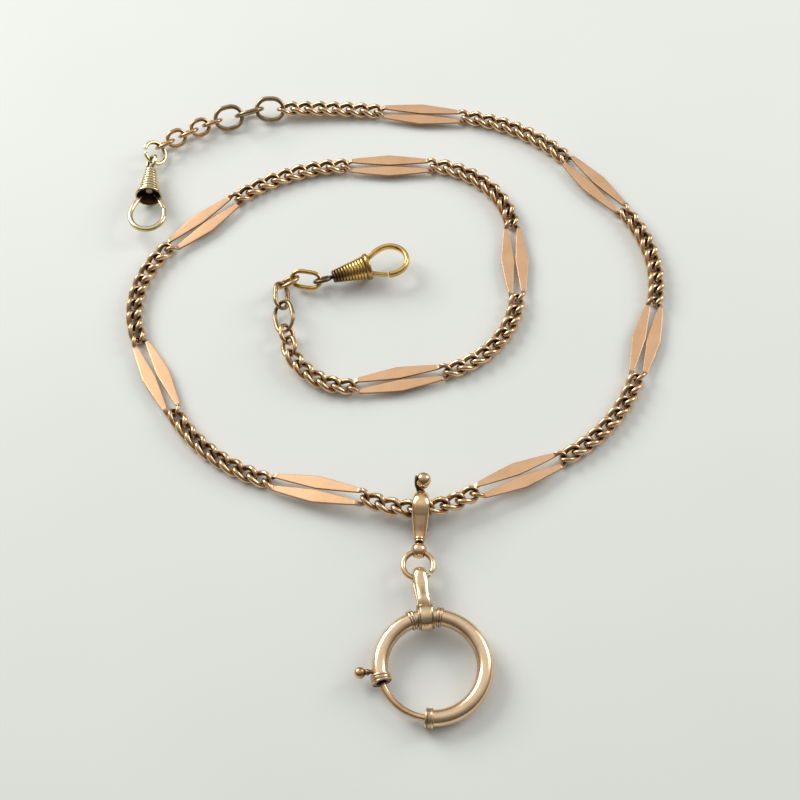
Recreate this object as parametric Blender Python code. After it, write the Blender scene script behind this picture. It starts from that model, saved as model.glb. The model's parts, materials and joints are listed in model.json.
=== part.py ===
"""A gentleman's pocket watch chain, laid out on a table in a loose coil.

The chain hangs on one run of curb links, curb_run_05, which carries the drop: a clip, a swivel bead, a
small ring, a shackle and a bolt ring. Two branches leave that run. The outer branch ends in dog clip A and
the inner branch in dog clip B. Every piece is measured from the joint that holds it, and every place
follows from the sizes below. Sizes are in millimetres and are turned into metres when a mesh is made.
"""

import math

import bmesh
import bpy
import numpy as np
from mathutils import Matrix, Vector

MM = 0.001

# Wire and play
WIRE = 0.85
PLAY = 0.2
SIDE_PLAY = 0.4
RUN_BITE = 0.34
FIXED_GAP = 0.06
TWIST = 45.0

# Curb runs and long links
CURB_PITCH = 2.95
CURB_LINKS = 8
FIRST_RUN_LINKS = 7
LAST_RUN_LINKS = 5
HALF_RUN_LINKS = 3
LONG_LINK = 20.0
PLATE_WIDTH = 2.6
PLATE_THICKNESS = 0.45
PLATE_GAP = 0.2
NECK_LENGTH = 1.9

# Cable links at the two ends
OVAL_LENGTH = 6.5
OVAL_WIDTH = 5.3
OVAL_WIRE = 0.95
SMALL_LENGTH = 4.7
SMALL_WIDTH = 3.9
LARGE_LENGTH = 7.2
LARGE_WIDTH = 5.4
ROUND_LINK = 5.0
JUMP_RING = 5.4
JUMP_WIRE = 0.8
JUMP_OPENING = 16.0

# Dog clips
BARREL_LENGTH = 7.4
BARREL_NECK = 1.0
BARREL_MOUTH = 2.15
BARREL_RIB = 0.16
BARREL_RIBS = 8
COLLAR_RADIUS = 2.75
COLLAR_LENGTH = 1.1
BOW_WIDTH = 7.7
BOW_LENGTH_A = 9.0
BOW_LENGTH_B = 7.9
BOW_WIRE = 1.0
EYE_DIAMETER = 3.8
EYE_WIRE = 0.8
STEM_RADIUS = 0.35
STEM_PLAY = 0.15

# Drop
CLAW_OPENING = 1.9
CLAW_THICKNESS = 1.4
CLAW_WIDTH = 3.1
CLAW_NECK = 0.95
LEVER_THICKNESS = 0.8
CHEEK_HALF = 0.68
BALL_RADIUS = 1.35
BEAD_RADIUS = 1.4
AXLE_END = 0.02
PIN_RADIUS = 0.3
LEVER_BORE = 0.38
HOLE_HALF_LENGTH = 2.0
PIN_HALF_LENGTH = 1.4
NECK_TO_BEAD = 8.2
DROP_RING = 6.1
DROP_WIRE = 0.95
DROP_HOLE_PLAY = 0.12
SHACKLE_REACH = 7.2
SHACKLE_WIDTH = 2.6
SHACKLE_BAND = 0.65
SLEEVE_WALL = 0.7
SLEEVE_PLAY = 0.25
SLEEVE_CROWN = 0.25

# Bolt ring
BOLT_RING = 20.2
TUBE = 2.8
TUBE_WALL = 0.5
BOLT_PLAY = 0.3
BAND_HEIGHT = 0.35
COLLAR_SPAN = 9.0
COLLAR_OVERHANG = 0.5
FLANGE_SPAN = 6.0
SLOT_SPARE = 4.0
TUBE_START = -98.0
TUBE_END = 198.0
SHACKLE_ANGLE = 97.0
BOLT_START = 150.0
BOLT_TIP = 266.0
KNOB_ANGLE = 185.0
KNOB_TRAVEL = 60.0
KNOB_RADIUS = 0.97
KNOB_REACH = 12.0

# How the chain is laid: headings in degrees round the table, heights and slopes
CROSSING = (3.6, -23.4)
CROSSING_HEADING = 3.0
HALF_RUN_TURN = 9.0
OUTER_HEADINGS = (26.0, 74.0, 128.0, 175.0)
INNER_HEADINGS = (166.0, 116.0, 44.0, 0.0, -89.0, -169.0)
OUTER_END = (186.0, 200.0, 196.0)
SMALL_HEADINGS = (206.0, 212.0, 212.0, 214.0, 216.0)
JUMP_HEADING = 250.0
CLIP_A_HEADING = -88.0
INNER_END = (-255.0, -265.0, -256.0, -270.0)
ROUND_HEADING = 40.0
LAST_OVAL_HEADING = -10.0
FIRST_RUN_RISE = 2.6
LAST_RUN_RISE = 3.6
CLIP_B_HEADING = 18.0
CABLE_ROLL = 45.0
OUTER_RISE = (6.0, -2.0, -3.0)
OUTER_ROLL = (-40.0, 50.0, -40.0)
CLIP_PITCH = 3.0
GATE_ROLL_A = 180.0
GATE_ROLL_B = 0.0
CLAW_TURN = -2.5
DROP_HEADING = -93.5
SHACKLE_HEADING = -83.0
DROP_RISE = 1.0
BOLT_RING_TILT = 4.0

CURB_SIDES = 5
LINK_SIDES = 6
ROUND_SIDES = 12

for old in list(bpy.data.objects):
    bpy.data.objects.remove(old, do_unlink=True)


def material(name, colour, roughness):
    made = bpy.data.materials.new(name)
    made.use_nodes = True
    shader = made.node_tree.nodes["Principled BSDF"]
    shader.inputs["Base Color"].default_value = (*colour, 1.0)
    shader.inputs["Metallic"].default_value = 1.0
    shader.inputs["Roughness"].default_value = roughness
    made.diffuse_color = (*colour, 1.0)
    return made


ROSE = ((0.60, 0.33, 0.18), 0.32)
SATIN = ((0.62, 0.35, 0.19), 0.45)
PALE = ((0.66, 0.52, 0.27), 0.28)
YELLOW = ((0.55, 0.36, 0.11), 0.33)
DULL = ((0.30, 0.24, 0.14), 0.42)
DARK = ((0.16, 0.12, 0.09), 0.50)


def frame(point, heading, pitch=0.0, roll=0.0):
    """A frame whose X runs along the chain: turned round the upright, raised, then rolled round itself."""
    turned = Matrix.Rotation(math.radians(heading), 4, "Z")
    raised = Matrix.Rotation(-math.radians(pitch), 4, "Y")
    rolled = Matrix.Rotation(math.radians(roll), 4, "X")
    return Matrix.Translation(point) @ turned @ raised @ rolled


def place(obj, matrix, parent=None):
    """Sets the object at a frame given in millimetres, keeping its rotation."""
    moved = matrix.copy()
    moved.translation = matrix.translation * MM
    if parent is not None:
        obj.parent = parent
        moved = world_of[parent.name].inverted() @ moved
    obj.matrix_basis = moved
    world_of[obj.name] = world_of[parent.name] @ moved if parent is not None else moved


world_of = {}


def mesh_object(name, vertices, faces, matrix, finish, parent=None):
    """One closed mesh, facing out, in its own frame."""
    data = bpy.data.meshes.new(name)
    data.from_pydata([tuple(v) for v in np.asarray(vertices) * MM], [], faces)
    shape = bmesh.new()
    shape.from_mesh(data)
    if shape.calc_volume(signed=True) < 0:
        bmesh.ops.reverse_faces(shape, faces=shape.faces)
    shape.to_mesh(data)
    shape.free()
    obj = bpy.data.objects.new(name, data)
    bpy.context.scene.collection.objects.link(obj)
    if finish is not None:
        data.materials.append(material(name, *finish))
    place(obj, matrix, parent)
    return obj


def helper(name, vertices, faces, matrix, parent=None):
    """A shape that only cuts or joins another one."""
    made = mesh_object(name, vertices, faces, matrix, None, parent)
    made.hide_render = True
    made.display_type = "WIRE"
    return made


def combine(obj, other, operation):
    step = obj.modifiers.new(operation.lower() + "_" + other.name, "BOOLEAN")
    step.operation = operation
    step.solver = "EXACT"
    step.object = other


def skin(rings, closed):
    """Vertices and faces of a surface through rings of equal count, capped at its ends unless it closes."""
    count = len(rings)
    around = len(rings[0])
    vertices = np.concatenate(rings)
    faces = []
    for i in range(count if closed else count - 1):
        a = i * around
        b = (i + 1) % count * around
        for k in range(around):
            n = (k + 1) % around
            faces.append((a + k, a + n, b + n, b + k))
    if not closed:
        faces.append(tuple(range(around))[::-1])
        faces.append(tuple(range((count - 1) * around, count * around)))
    return vertices, faces


def polygon(sides, radius, phase=0.5):
    angle = 2 * math.pi * (np.arange(sides) + phase) / sides
    return np.stack([np.cos(angle), np.sin(angle)], 1) * radius


def sweep(path, ups, sections, closed):
    """Carries a section along a path: its first number runs to the side, its second along the up vector."""
    path = np.asarray(path, float)
    ups = np.asarray(ups, float)
    if closed:
        along = np.roll(path, -1, 0) - np.roll(path, 1, 0)
    else:
        along = np.gradient(path, axis=0)
    along /= np.linalg.norm(along, axis=1, keepdims=True)
    side = np.cross(along, ups)
    side /= np.linalg.norm(side, axis=1, keepdims=True)
    up = np.cross(side, along)
    rings = [
        path[i] + sections[i][:, :1] * side[i] + sections[i][:, 1:] * up[i]
        for i in range(len(path))
    ]
    return skin(rings, closed)


def turned_shape(profile, sides, closed):
    """Turns a profile of (along, radius) points round the X axis."""
    circle = polygon(sides, 1.0)
    rings = [
        np.column_stack([np.full(sides, x), circle[:, 0] * r, circle[:, 1] * r])
        for x, r in profile
    ]
    return skin(rings, closed)


def rod_shape(half_length, radius, sides=10):
    """A plain rod along the X axis about its middle."""
    start = [(-half_length, AXLE_END), (-half_length, radius)]
    end = [(half_length, radius), (half_length, AXLE_END)]
    return turned_shape(start + end, sides, False)


def loop_path(half_length, half_width, per_end, sides_x=()):
    """Points round an oval with round ends, drawn so that its flats touch the true curve; more at sides_x."""
    reach = half_length - half_width
    step = math.pi / per_end
    radius = half_width / math.cos(step / 2)
    points = []
    for end in (1.0, -1.0):
        for k in range(per_end):
            a = (k + 0.5) * step - math.pi / 2
            points.append((end * (reach + radius * math.cos(a)), end * radius * math.sin(a)))
        points += [(end * x, end * half_width) for x in sides_x]
    return np.array(points)


def roll_points(flat, roll):
    """Lifts flat points into space, each rolled round the X axis by its own angle, with its up vector."""
    path = np.column_stack([flat[:, 0], flat[:, 1] * np.cos(roll), flat[:, 1] * np.sin(roll)])
    ups = np.column_stack([np.zeros(len(flat)), -np.sin(roll), np.cos(roll)])
    return path, ups


CURB_HALF = (CURB_PITCH + WIRE * (1 - RUN_BITE)) / 2
HALF_WIDTH = WIRE + SIDE_PLAY
JOINT_DEPTH = WIRE + PLAY


def curb_link():
    """One curb link about its own centre: an oval ring of wire twisted by an eighth of a turn at each end."""
    flat = loop_path(CURB_HALF, HALF_WIDTH, 4)
    turn = np.radians(TWIST) * np.sin(math.pi / 2 * np.clip(flat[:, 0] / CURB_HALF, -1, 1))
    path, ups = roll_points(flat, turn)
    return sweep(path, ups, [polygon(CURB_SIDES, WIRE / 2, 0.12)] * len(path), True)


def long_link():
    """A long link about its centre: two flat plates, widest half way, drawn down to twisted wire ends."""
    half = (LONG_LINK - WIRE) / 2
    shoulder = half - NECK_LENGTH
    stations = np.array([0.97, 0.8, 0.4, 0.0, -0.4, -0.8, -0.97]) * shoulder
    flat = loop_path(half, HALF_WIDTH, 4, stations)
    away = np.abs(flat[:, 0])
    plate = np.clip((half - HALF_WIDTH * 0.7 - away) / (NECK_LENGTH * 0.8), 0, 1)
    middle = np.clip(1 - away / shoulder, 0, 1)
    flat[:, 1] += np.sign(flat[:, 1]) * middle * (PLATE_WIDTH / 2 + PLATE_GAP / 2 - HALF_WIDTH)
    ease = np.sin(math.pi / 2 * np.clip((away - shoulder) / (half - shoulder), 0, 1))
    path, ups = roll_points(flat, np.radians(TWIST) * np.sign(flat[:, 0]) * ease)
    wide = WIRE / 2 + (PLATE_WIDTH - WIRE) / 2 * middle
    thick = WIRE / 2 + (PLATE_THICKNESS - WIRE) / 2 * plate
    sections = []
    for i in range(len(flat)):
        corner = 0.5 + 0.35 * plate[i]
        tall = 0.866 + 0.134 * plate[i]
        shape = [(1, 0), (corner, tall), (-corner, tall), (-1, 0), (-corner, -tall), (corner, -tall)]
        sections.append(np.array(shape) * (wide[i], thick[i]))
    return sweep(path, ups, sections, True)


def plain_link(length, width, wire, opening=0.0):
    """A flat cable link about its centre; with an opening, in degrees, it is cut through at one place."""
    half = (length - wire) / 2
    side = (width - wire) / 2
    if opening:
        angle = np.radians(np.linspace(opening / 2, 360 - opening / 2, 14) - 60)
        flat = np.stack([np.cos(angle) * half, np.sin(angle) * side], 1)
    else:
        flat = loop_path(half, side, 6)
    path, ups = roll_points(flat, np.zeros(len(flat)))
    return sweep(path, ups, [polygon(LINK_SIDES, wire / 2)] * len(path), not opening)


def shifted(shape, x):
    return shape[0] + np.array([x, 0.0, 0.0]), shape[1]


def moved(shape, matrix):
    turn = np.array(matrix)
    return shape[0] @ turn[:3, :3].T + turn[:3, 3], shape[1]


CHAIN_HEIGHT = -min(curb_link()[0][:, 2].min(), long_link()[0][:, 2].min())


class Branch:
    """Walks along the chain from one joint to the next, and gives each piece its frame."""

    def __init__(self, point, parent):
        self.point = Vector(point)
        self.parent = parent

    def add(self, name, shape, centre, reach, finish, heading, pitch=0.0, roll=0.0):
        where = frame(self.point, heading, pitch, roll)
        self.parent = mesh_object(name, *shifted(shape, centre), where, finish, self.parent)
        self.point = where @ Vector((reach, 0.0, 0.0))
        return self.parent

    def run(self, name, count, start, end, pitch=0.0):
        """A curb run: links in a row, each turned a little further, joined into one piece."""
        turns = [start + (end - start) * (k + 1) / (count + 1) for k in range(count)]
        base = frame(self.point, turns[0], pitch)
        links, self.point = row_of_links(self.point, turns, END_REACH, base, pitch)
        self.parent = joined_run(name, links, base, self.parent)
        return self.parent

    def long(self, name, heading, pitch=0.0):
        half = (LONG_LINK - WIRE) / 2
        reach = 2 * half - JOINT_DEPTH
        self.add(name, long_link(), half - JOINT_DEPTH / 2, reach, SATIN, heading, pitch)

    def plain(self, name, sizes, finish, heading, pitch, roll, opening=0.0):
        length, width, wire = sizes
        depth = (wire + max(WIRE, OVAL_WIRE)) / 2 + PLAY
        half = (length - wire) / 2
        shape = plain_link(length, width, wire, opening)
        self.add(name, shape, half - depth / 2, 2 * half - depth, finish, heading, pitch, roll)


END_REACH = CURB_HALF - JOINT_DEPTH / 2


def row_of_links(point, turns, first, base, pitch=0.0):
    """Curb links from a joint on, one per heading, in the base frame, the first centre at a given distance."""
    links = []
    before = first
    for k, turn in enumerate(turns):
        after = END_REACH if k + 1 == len(turns) else CURB_PITCH / 2
        at = frame(point, turn, pitch)
        centre = Matrix.Translation((before, 0.0, 0.0))
        links.append(moved(curb_link(), base.inverted() @ at @ centre))
        point = at @ Vector((before + after, 0.0, 0.0))
        before = CURB_PITCH / 2
    return links, point


def joined_run(name, links, where, parent):
    """The first link, joined to helpers that hold the others."""
    made = mesh_object(name, *links[0], where, ROSE, parent)
    others = bpy.data.collections.new(name + "_links")
    for i, link in enumerate(links[1:], 2):
        others.objects.link(helper(f"{name}_link_{i}", *link, where, made))
    step = made.modifiers.new("union_of_links", "BOOLEAN")
    step.operation = "UNION"
    step.solver = "EXACT"
    step.operand_type = "COLLECTION"
    step.collection = others
    return made


def middle_run():
    """curb_run_05, which carries the drop: the link under the claw, and three more towards each branch."""
    height = CLAW_OPENING + LEVER_THICKNESS + 0.04
    centre = Vector((*CROSSING, height))
    base = frame(centre, CROSSING_HEADING)
    links = [curb_link()]
    ends = []
    for side in (1, -1):
        heading = CROSSING_HEADING + (0 if side > 0 else 180)
        point = frame(centre, heading) @ Vector((CURB_PITCH / 2, 0.0, 0.0))
        turns = [heading + side * HALF_RUN_TURN * (k + 1) for k in range(HALF_RUN_LINKS)]
        row, point = row_of_links(point, turns, CURB_PITCH / 2, base)
        links += row
        ends.append(point)
    return joined_run("curb_run_05", links, base, None), ends, centre


def clip(branch, letter, heading, eye_roll, gate_roll, bow_length, finish, eye_finish):
    """A dog clip: an eye on a stem that turns in the barrel, and a bow closed by a gate."""
    eye_half = (EYE_DIAMETER - EYE_WIRE) / 2
    depth = (EYE_WIRE + OVAL_WIRE) / 2 + PLAY
    where = frame(branch.point, heading, CLIP_PITCH, eye_roll)
    level = frame(branch.point, heading, CLIP_PITCH, gate_roll)
    centre = eye_half - depth / 2
    neck_x = centre + EYE_DIAMETER / 2 + STEM_PLAY
    eye = mesh_object(
        f"clip_{letter}_eye",
        *shifted(plain_link(EYE_DIAMETER, EYE_DIAMETER, EYE_WIRE), centre),
        where,
        eye_finish,
        branch.parent,
    )
    cup = BARREL_LENGTH - 2.2
    stem = turned_shape(
        [
            (centre + eye_half, AXLE_END),
            (centre + eye_half, STEM_RADIUS),
            (neck_x + cup + STEM_PLAY, STEM_RADIUS),
            (neck_x + cup + STEM_PLAY, STEM_RADIUS * 2.2),
            (neck_x + cup + STEM_PLAY + 0.5, STEM_RADIUS * 2.2),
            (neck_x + cup + STEM_PLAY + 0.5, AXLE_END),
        ],
        8,
        False,
    )
    combine(eye, helper(f"clip_{letter}_stem", *stem, where, branch.parent), "UNION")

    seat = level @ Matrix.Translation((neck_x, 0.0, 0.0))
    ribbed = BARREL_LENGTH - COLLAR_LENGTH
    outline = [(0.0, STEM_RADIUS + STEM_PLAY), (0.0, BARREL_NECK)]
    for k in range(BARREL_RIBS):
        for part, lift in ((0.5, BARREL_RIB), (0.95, 0.0)):
            x = ribbed * (k + part) / BARREL_RIBS
            outline.append((x, BARREL_NECK + (BARREL_MOUTH - BARREL_NECK) * x / ribbed + lift))
    outline += [
        (ribbed + 0.12, COLLAR_RADIUS * 0.93),
        (ribbed + COLLAR_LENGTH * 0.5, COLLAR_RADIUS),
        (BARREL_LENGTH - 0.1, COLLAR_RADIUS * 0.95),
        (BARREL_LENGTH, COLLAR_RADIUS * 0.84),
        (cup, BARREL_MOUTH * 0.72),
        (cup, STEM_RADIUS + STEM_PLAY),
    ]
    barrel = mesh_object(
        f"clip_{letter}_barrel", *turned_shape(outline, ROUND_SIDES, True), seat, finish, eye
    )

    half = (BOW_WIDTH - BOW_WIRE) / 2
    root = BARREL_MOUTH * 0.6
    belly = BARREL_LENGTH + bow_length * 0.52
    tip = BARREL_LENGTH + bow_length - BOW_WIRE / 2
    notch = BARREL_LENGTH + bow_length * 0.36
    start = BARREL_LENGTH - 0.9

    def half_width(x):
        if x >= belly:
            return half * math.sqrt(max(0.0, 1 - ((x - belly) / (tip - belly)) ** 2))
        part = (x - start) / (belly - start)
        return root + (half - root) * math.sin(part * math.pi / 2) ** 1.2

    legs = [start, BARREL_LENGTH + 0.3, (notch + BARREL_LENGTH) / 2, notch, belly]
    rounds = [belly + (tip - belly) * math.sin(math.radians(a)) for a in (22, 45, 67)]
    path = [(x, half_width(x), 0.0) for x in legs + rounds] + [(tip, 0.0, 0.0)]
    path += [(x, -half_width(x), 0.0) for x in rounds[::-1] + [belly, notch + 0.15]]
    slim = [0.78, 0.85, 1.0] + [1.0] * (len(path) - 3)
    sections = [polygon(LINK_SIDES, BOW_WIRE / 2) * s for s in slim]
    bow = sweep(path, [(0, 0, 1)] * len(path), sections, False)
    mesh_object(f"clip_{letter}_bow", *bow, seat, finish, barrel)

    gate_root = Vector((start + 0.2, -root * 0.9, 0.0))
    gate_path = [(start + 0.2, -root * 0.9, 0.0)]
    for x in (BARREL_LENGTH + 0.4, (BARREL_LENGTH + notch) / 2, notch - 0.35):
        gate_path.append((x, -half_width(x), 0.0))
    gate_path = np.array(gate_path) - np.array(gate_root)
    gate = sweep(
        gate_path,
        [(0, 0, 1)] * len(gate_path),
        [polygon(LINK_SIDES, BOW_WIRE * s / 2) for s in (0.8, 0.8, 0.9, 0.9)],
        False,
    )
    hinge = seat @ Matrix.Translation(gate_root)
    mesh_object(f"clip_{letter}_gate", *gate, hinge, finish, barrel)
    return eye


def outer_branch(start, parent, height):
    """From the crossing to clip A: three runs and four long links, the first run, cable links, jump ring."""
    branch = Branch(start, parent)
    drop = math.degrees(math.asin((height - CHAIN_HEIGHT) / (LONG_LINK - WIRE - JOINT_DEPTH)))
    last = None
    for i, heading in enumerate(OUTER_HEADINGS):
        if i:
            branch.run(f"curb_run_{5 - i:02d}", CURB_LINKS, last, heading)
        branch.long(f"fancy_link_{4 - i:02d}", heading, -drop if i == 0 else 0.0)
        last = heading
    branch.run("curb_run_01", FIRST_RUN_LINKS, last, OUTER_END[0], FIRST_RUN_RISE)
    oval = (OVAL_LENGTH, OVAL_WIDTH, OVAL_WIRE)
    small = (SMALL_LENGTH, SMALL_WIDTH, WIRE)
    for i, heading in enumerate(OUTER_END):
        branch.plain(f"outer_oval_{i + 1}", oval, DULL, heading, OUTER_RISE[i], OUTER_ROLL[i])
    for i, heading in enumerate(SMALL_HEADINGS):
        roll = CABLE_ROLL * (-1 if i % 2 else 1)
        branch.plain(f"outer_small_{i + 1}", small, ROSE, heading, 0.0, roll)
    ring = (JUMP_RING, JUMP_RING, JUMP_WIRE)
    branch.plain("jump_ring", ring, PALE, JUMP_HEADING, 2.0, -40.0, JUMP_OPENING)
    clip(branch, "A", CLIP_A_HEADING, 50.0, GATE_ROLL_A, BOW_LENGTH_A, PALE, PALE)


def inner_branch(start, parent, height):
    """From the crossing to clip B: five runs and six long links, the last run and cable links."""
    branch = Branch(start, parent)
    drop = math.degrees(math.asin((height - CHAIN_HEIGHT) / (LONG_LINK - WIRE - JOINT_DEPTH)))
    last = None
    for i, heading in enumerate(INNER_HEADINGS):
        if i:
            branch.run(f"curb_run_{5 + i:02d}", CURB_LINKS, last, heading)
        branch.long(f"fancy_link_{5 + i:02d}", heading, -drop if i == 0 else 0.0)
        last = heading
    branch.run("curb_run_11", LAST_RUN_LINKS, last, INNER_END[0], LAST_RUN_RISE)
    small = (SMALL_LENGTH, SMALL_WIDTH, WIRE)
    large = (LARGE_LENGTH, LARGE_WIDTH, JUMP_WIRE)
    oval = (OVAL_LENGTH, SMALL_WIDTH, WIRE)
    ring = (ROUND_LINK, ROUND_LINK, WIRE)
    branch.plain("inner_small_1", small, ROSE, INNER_END[0], 2.0, -CABLE_ROLL)
    branch.plain("inner_small_2", small, ROSE, INNER_END[1], 3.0, CABLE_ROLL)
    branch.plain("inner_large", large, DULL, INNER_END[2], 1.0, -CABLE_ROLL)
    branch.plain("inner_oval_1", oval, DULL, INNER_END[3], 0.0, CABLE_ROLL)
    branch.plain("inner_round", ring, ROSE, ROUND_HEADING, 0.0, -CABLE_ROLL)
    branch.plain("inner_oval_2", oval, YELLOW, LAST_OVAL_HEADING, 0.0, CABLE_ROLL)
    clip(branch, "B", CLIP_B_HEADING, -CABLE_ROLL, GATE_ROLL_B, BOW_LENGTH_B, YELLOW, DARK)


RING_RADIUS = (BOLT_RING - TUBE) / 2


def ring_rings(stations, sides):
    """Circles round the bolt ring's line, from (angle, radius) stations, in the plane of the ring."""
    circle = polygon(sides, 1.0)
    rings = []
    for angle, radius in stations:
        a = math.radians(angle)
        out = np.array([math.cos(a), math.sin(a), 0.0])
        far = RING_RADIUS + circle[:, :1] * radius
        rings.append(far * out + circle[:, 1:] * radius * np.array([0.0, 0.0, 1.0]))
    return rings


def band(start, end, inner, outer):
    stations = [(start, inner), (start, outer), (end, outer), (end, inner)]
    return skin(ring_rings(stations, ROUND_SIDES), True)


def bolt_ring(where, parent):
    """The hollow ring with its bands, the sprung bolt and its knob; where is the ring's centre."""
    tube = TUBE / 2
    bore = tube - TUBE_WALL
    bolt = bore - BOLT_PLAY
    travel = BOLT_START - KNOB_TRAVEL - SLOT_SPARE
    inside = np.linspace(travel, TUBE_END, 10)
    outside = np.linspace(TUBE_END, TUBE_START, 30)
    stations = [(a, bore) for a in inside]
    stations += [(a, tube) for a in outside]
    stations += [(TUBE_START, bore), (TUBE_START + 9, bore)]
    top = where @ frame((0, 0, 0), SHACKLE_ANGLE - 90) @ Matrix.Translation((0, RING_RADIUS, 0))
    to_top = top.inverted() @ where
    shape = moved(skin(ring_rings(stations, ROUND_SIDES), False), to_top)
    body = mesh_object("bolt_ring_tube", *shape, top, SATIN, parent)
    slot_ring = []
    for angle in np.linspace(KNOB_ANGLE - KNOB_TRAVEL - SLOT_SPARE, KNOB_ANGLE + SLOT_SPARE + 1, 12):
        a = math.radians(angle)
        out = np.array([math.cos(a), math.sin(a), 0.0])
        up = np.array([0.0, 0.0, STEM_RADIUS + STEM_PLAY])
        near = (RING_RADIUS + bore * 0.55) * out
        far = (RING_RADIUS + tube * 1.5) * out
        slot_ring.append([near - up, far - up, far + up, near + up])
    slot = moved(skin(slot_ring, False), to_top)
    combine(body, helper("bolt_ring_slot", *slot, top, parent), "DIFFERENCE")

    inner = tube + FIXED_GAP
    outer = tube + BAND_HEIGHT
    clear = math.degrees((SHACKLE_WIDTH / 2 + PLAY) / (RING_RADIUS - outer))
    bands = {
        "bolt_ring_collar_left": (TUBE_END + COLLAR_OVERHANG - COLLAR_SPAN, TUBE_END + COLLAR_OVERHANG),
        "bolt_ring_collar_low": (TUBE_START - COLLAR_OVERHANG, TUBE_START - COLLAR_OVERHANG + COLLAR_SPAN),
        "bolt_ring_flange_left": (SHACKLE_ANGLE + clear, SHACKLE_ANGLE + clear + FLANGE_SPAN),
        "bolt_ring_flange_right": (SHACKLE_ANGLE - clear - FLANGE_SPAN, SHACKLE_ANGLE - clear),
    }
    for name, ends in bands.items():
        mesh_object(name, *moved(band(*ends, inner, outer), to_top), top, ROSE, body)

    rod = skin(ring_rings([(a, bolt) for a in np.linspace(BOLT_START, BOLT_TIP, 14)], 8), False)
    rod_obj = mesh_object("bolt", *rod, where, ROSE, body)
    a = math.radians(KNOB_ANGLE)
    root = RING_RADIUS + bolt + FIXED_GAP
    profile = [(root, AXLE_END), (root, STEM_RADIUS), (KNOB_REACH - KNOB_RADIUS * 0.9, STEM_RADIUS)]
    profile += [
        (KNOB_REACH - KNOB_RADIUS * math.cos(math.radians(t)), KNOB_RADIUS * math.sin(math.radians(t)))
        for t in (38, 62, 90, 118, 146)
    ]
    profile += [(KNOB_REACH + KNOB_RADIUS, AXLE_END)]
    knob = moved(turned_shape(profile, 10, False), Matrix.Rotation(a, 4, "Z"))
    mesh_object("bolt_knob", *knob, where, ROSE, rod_obj)



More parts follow.
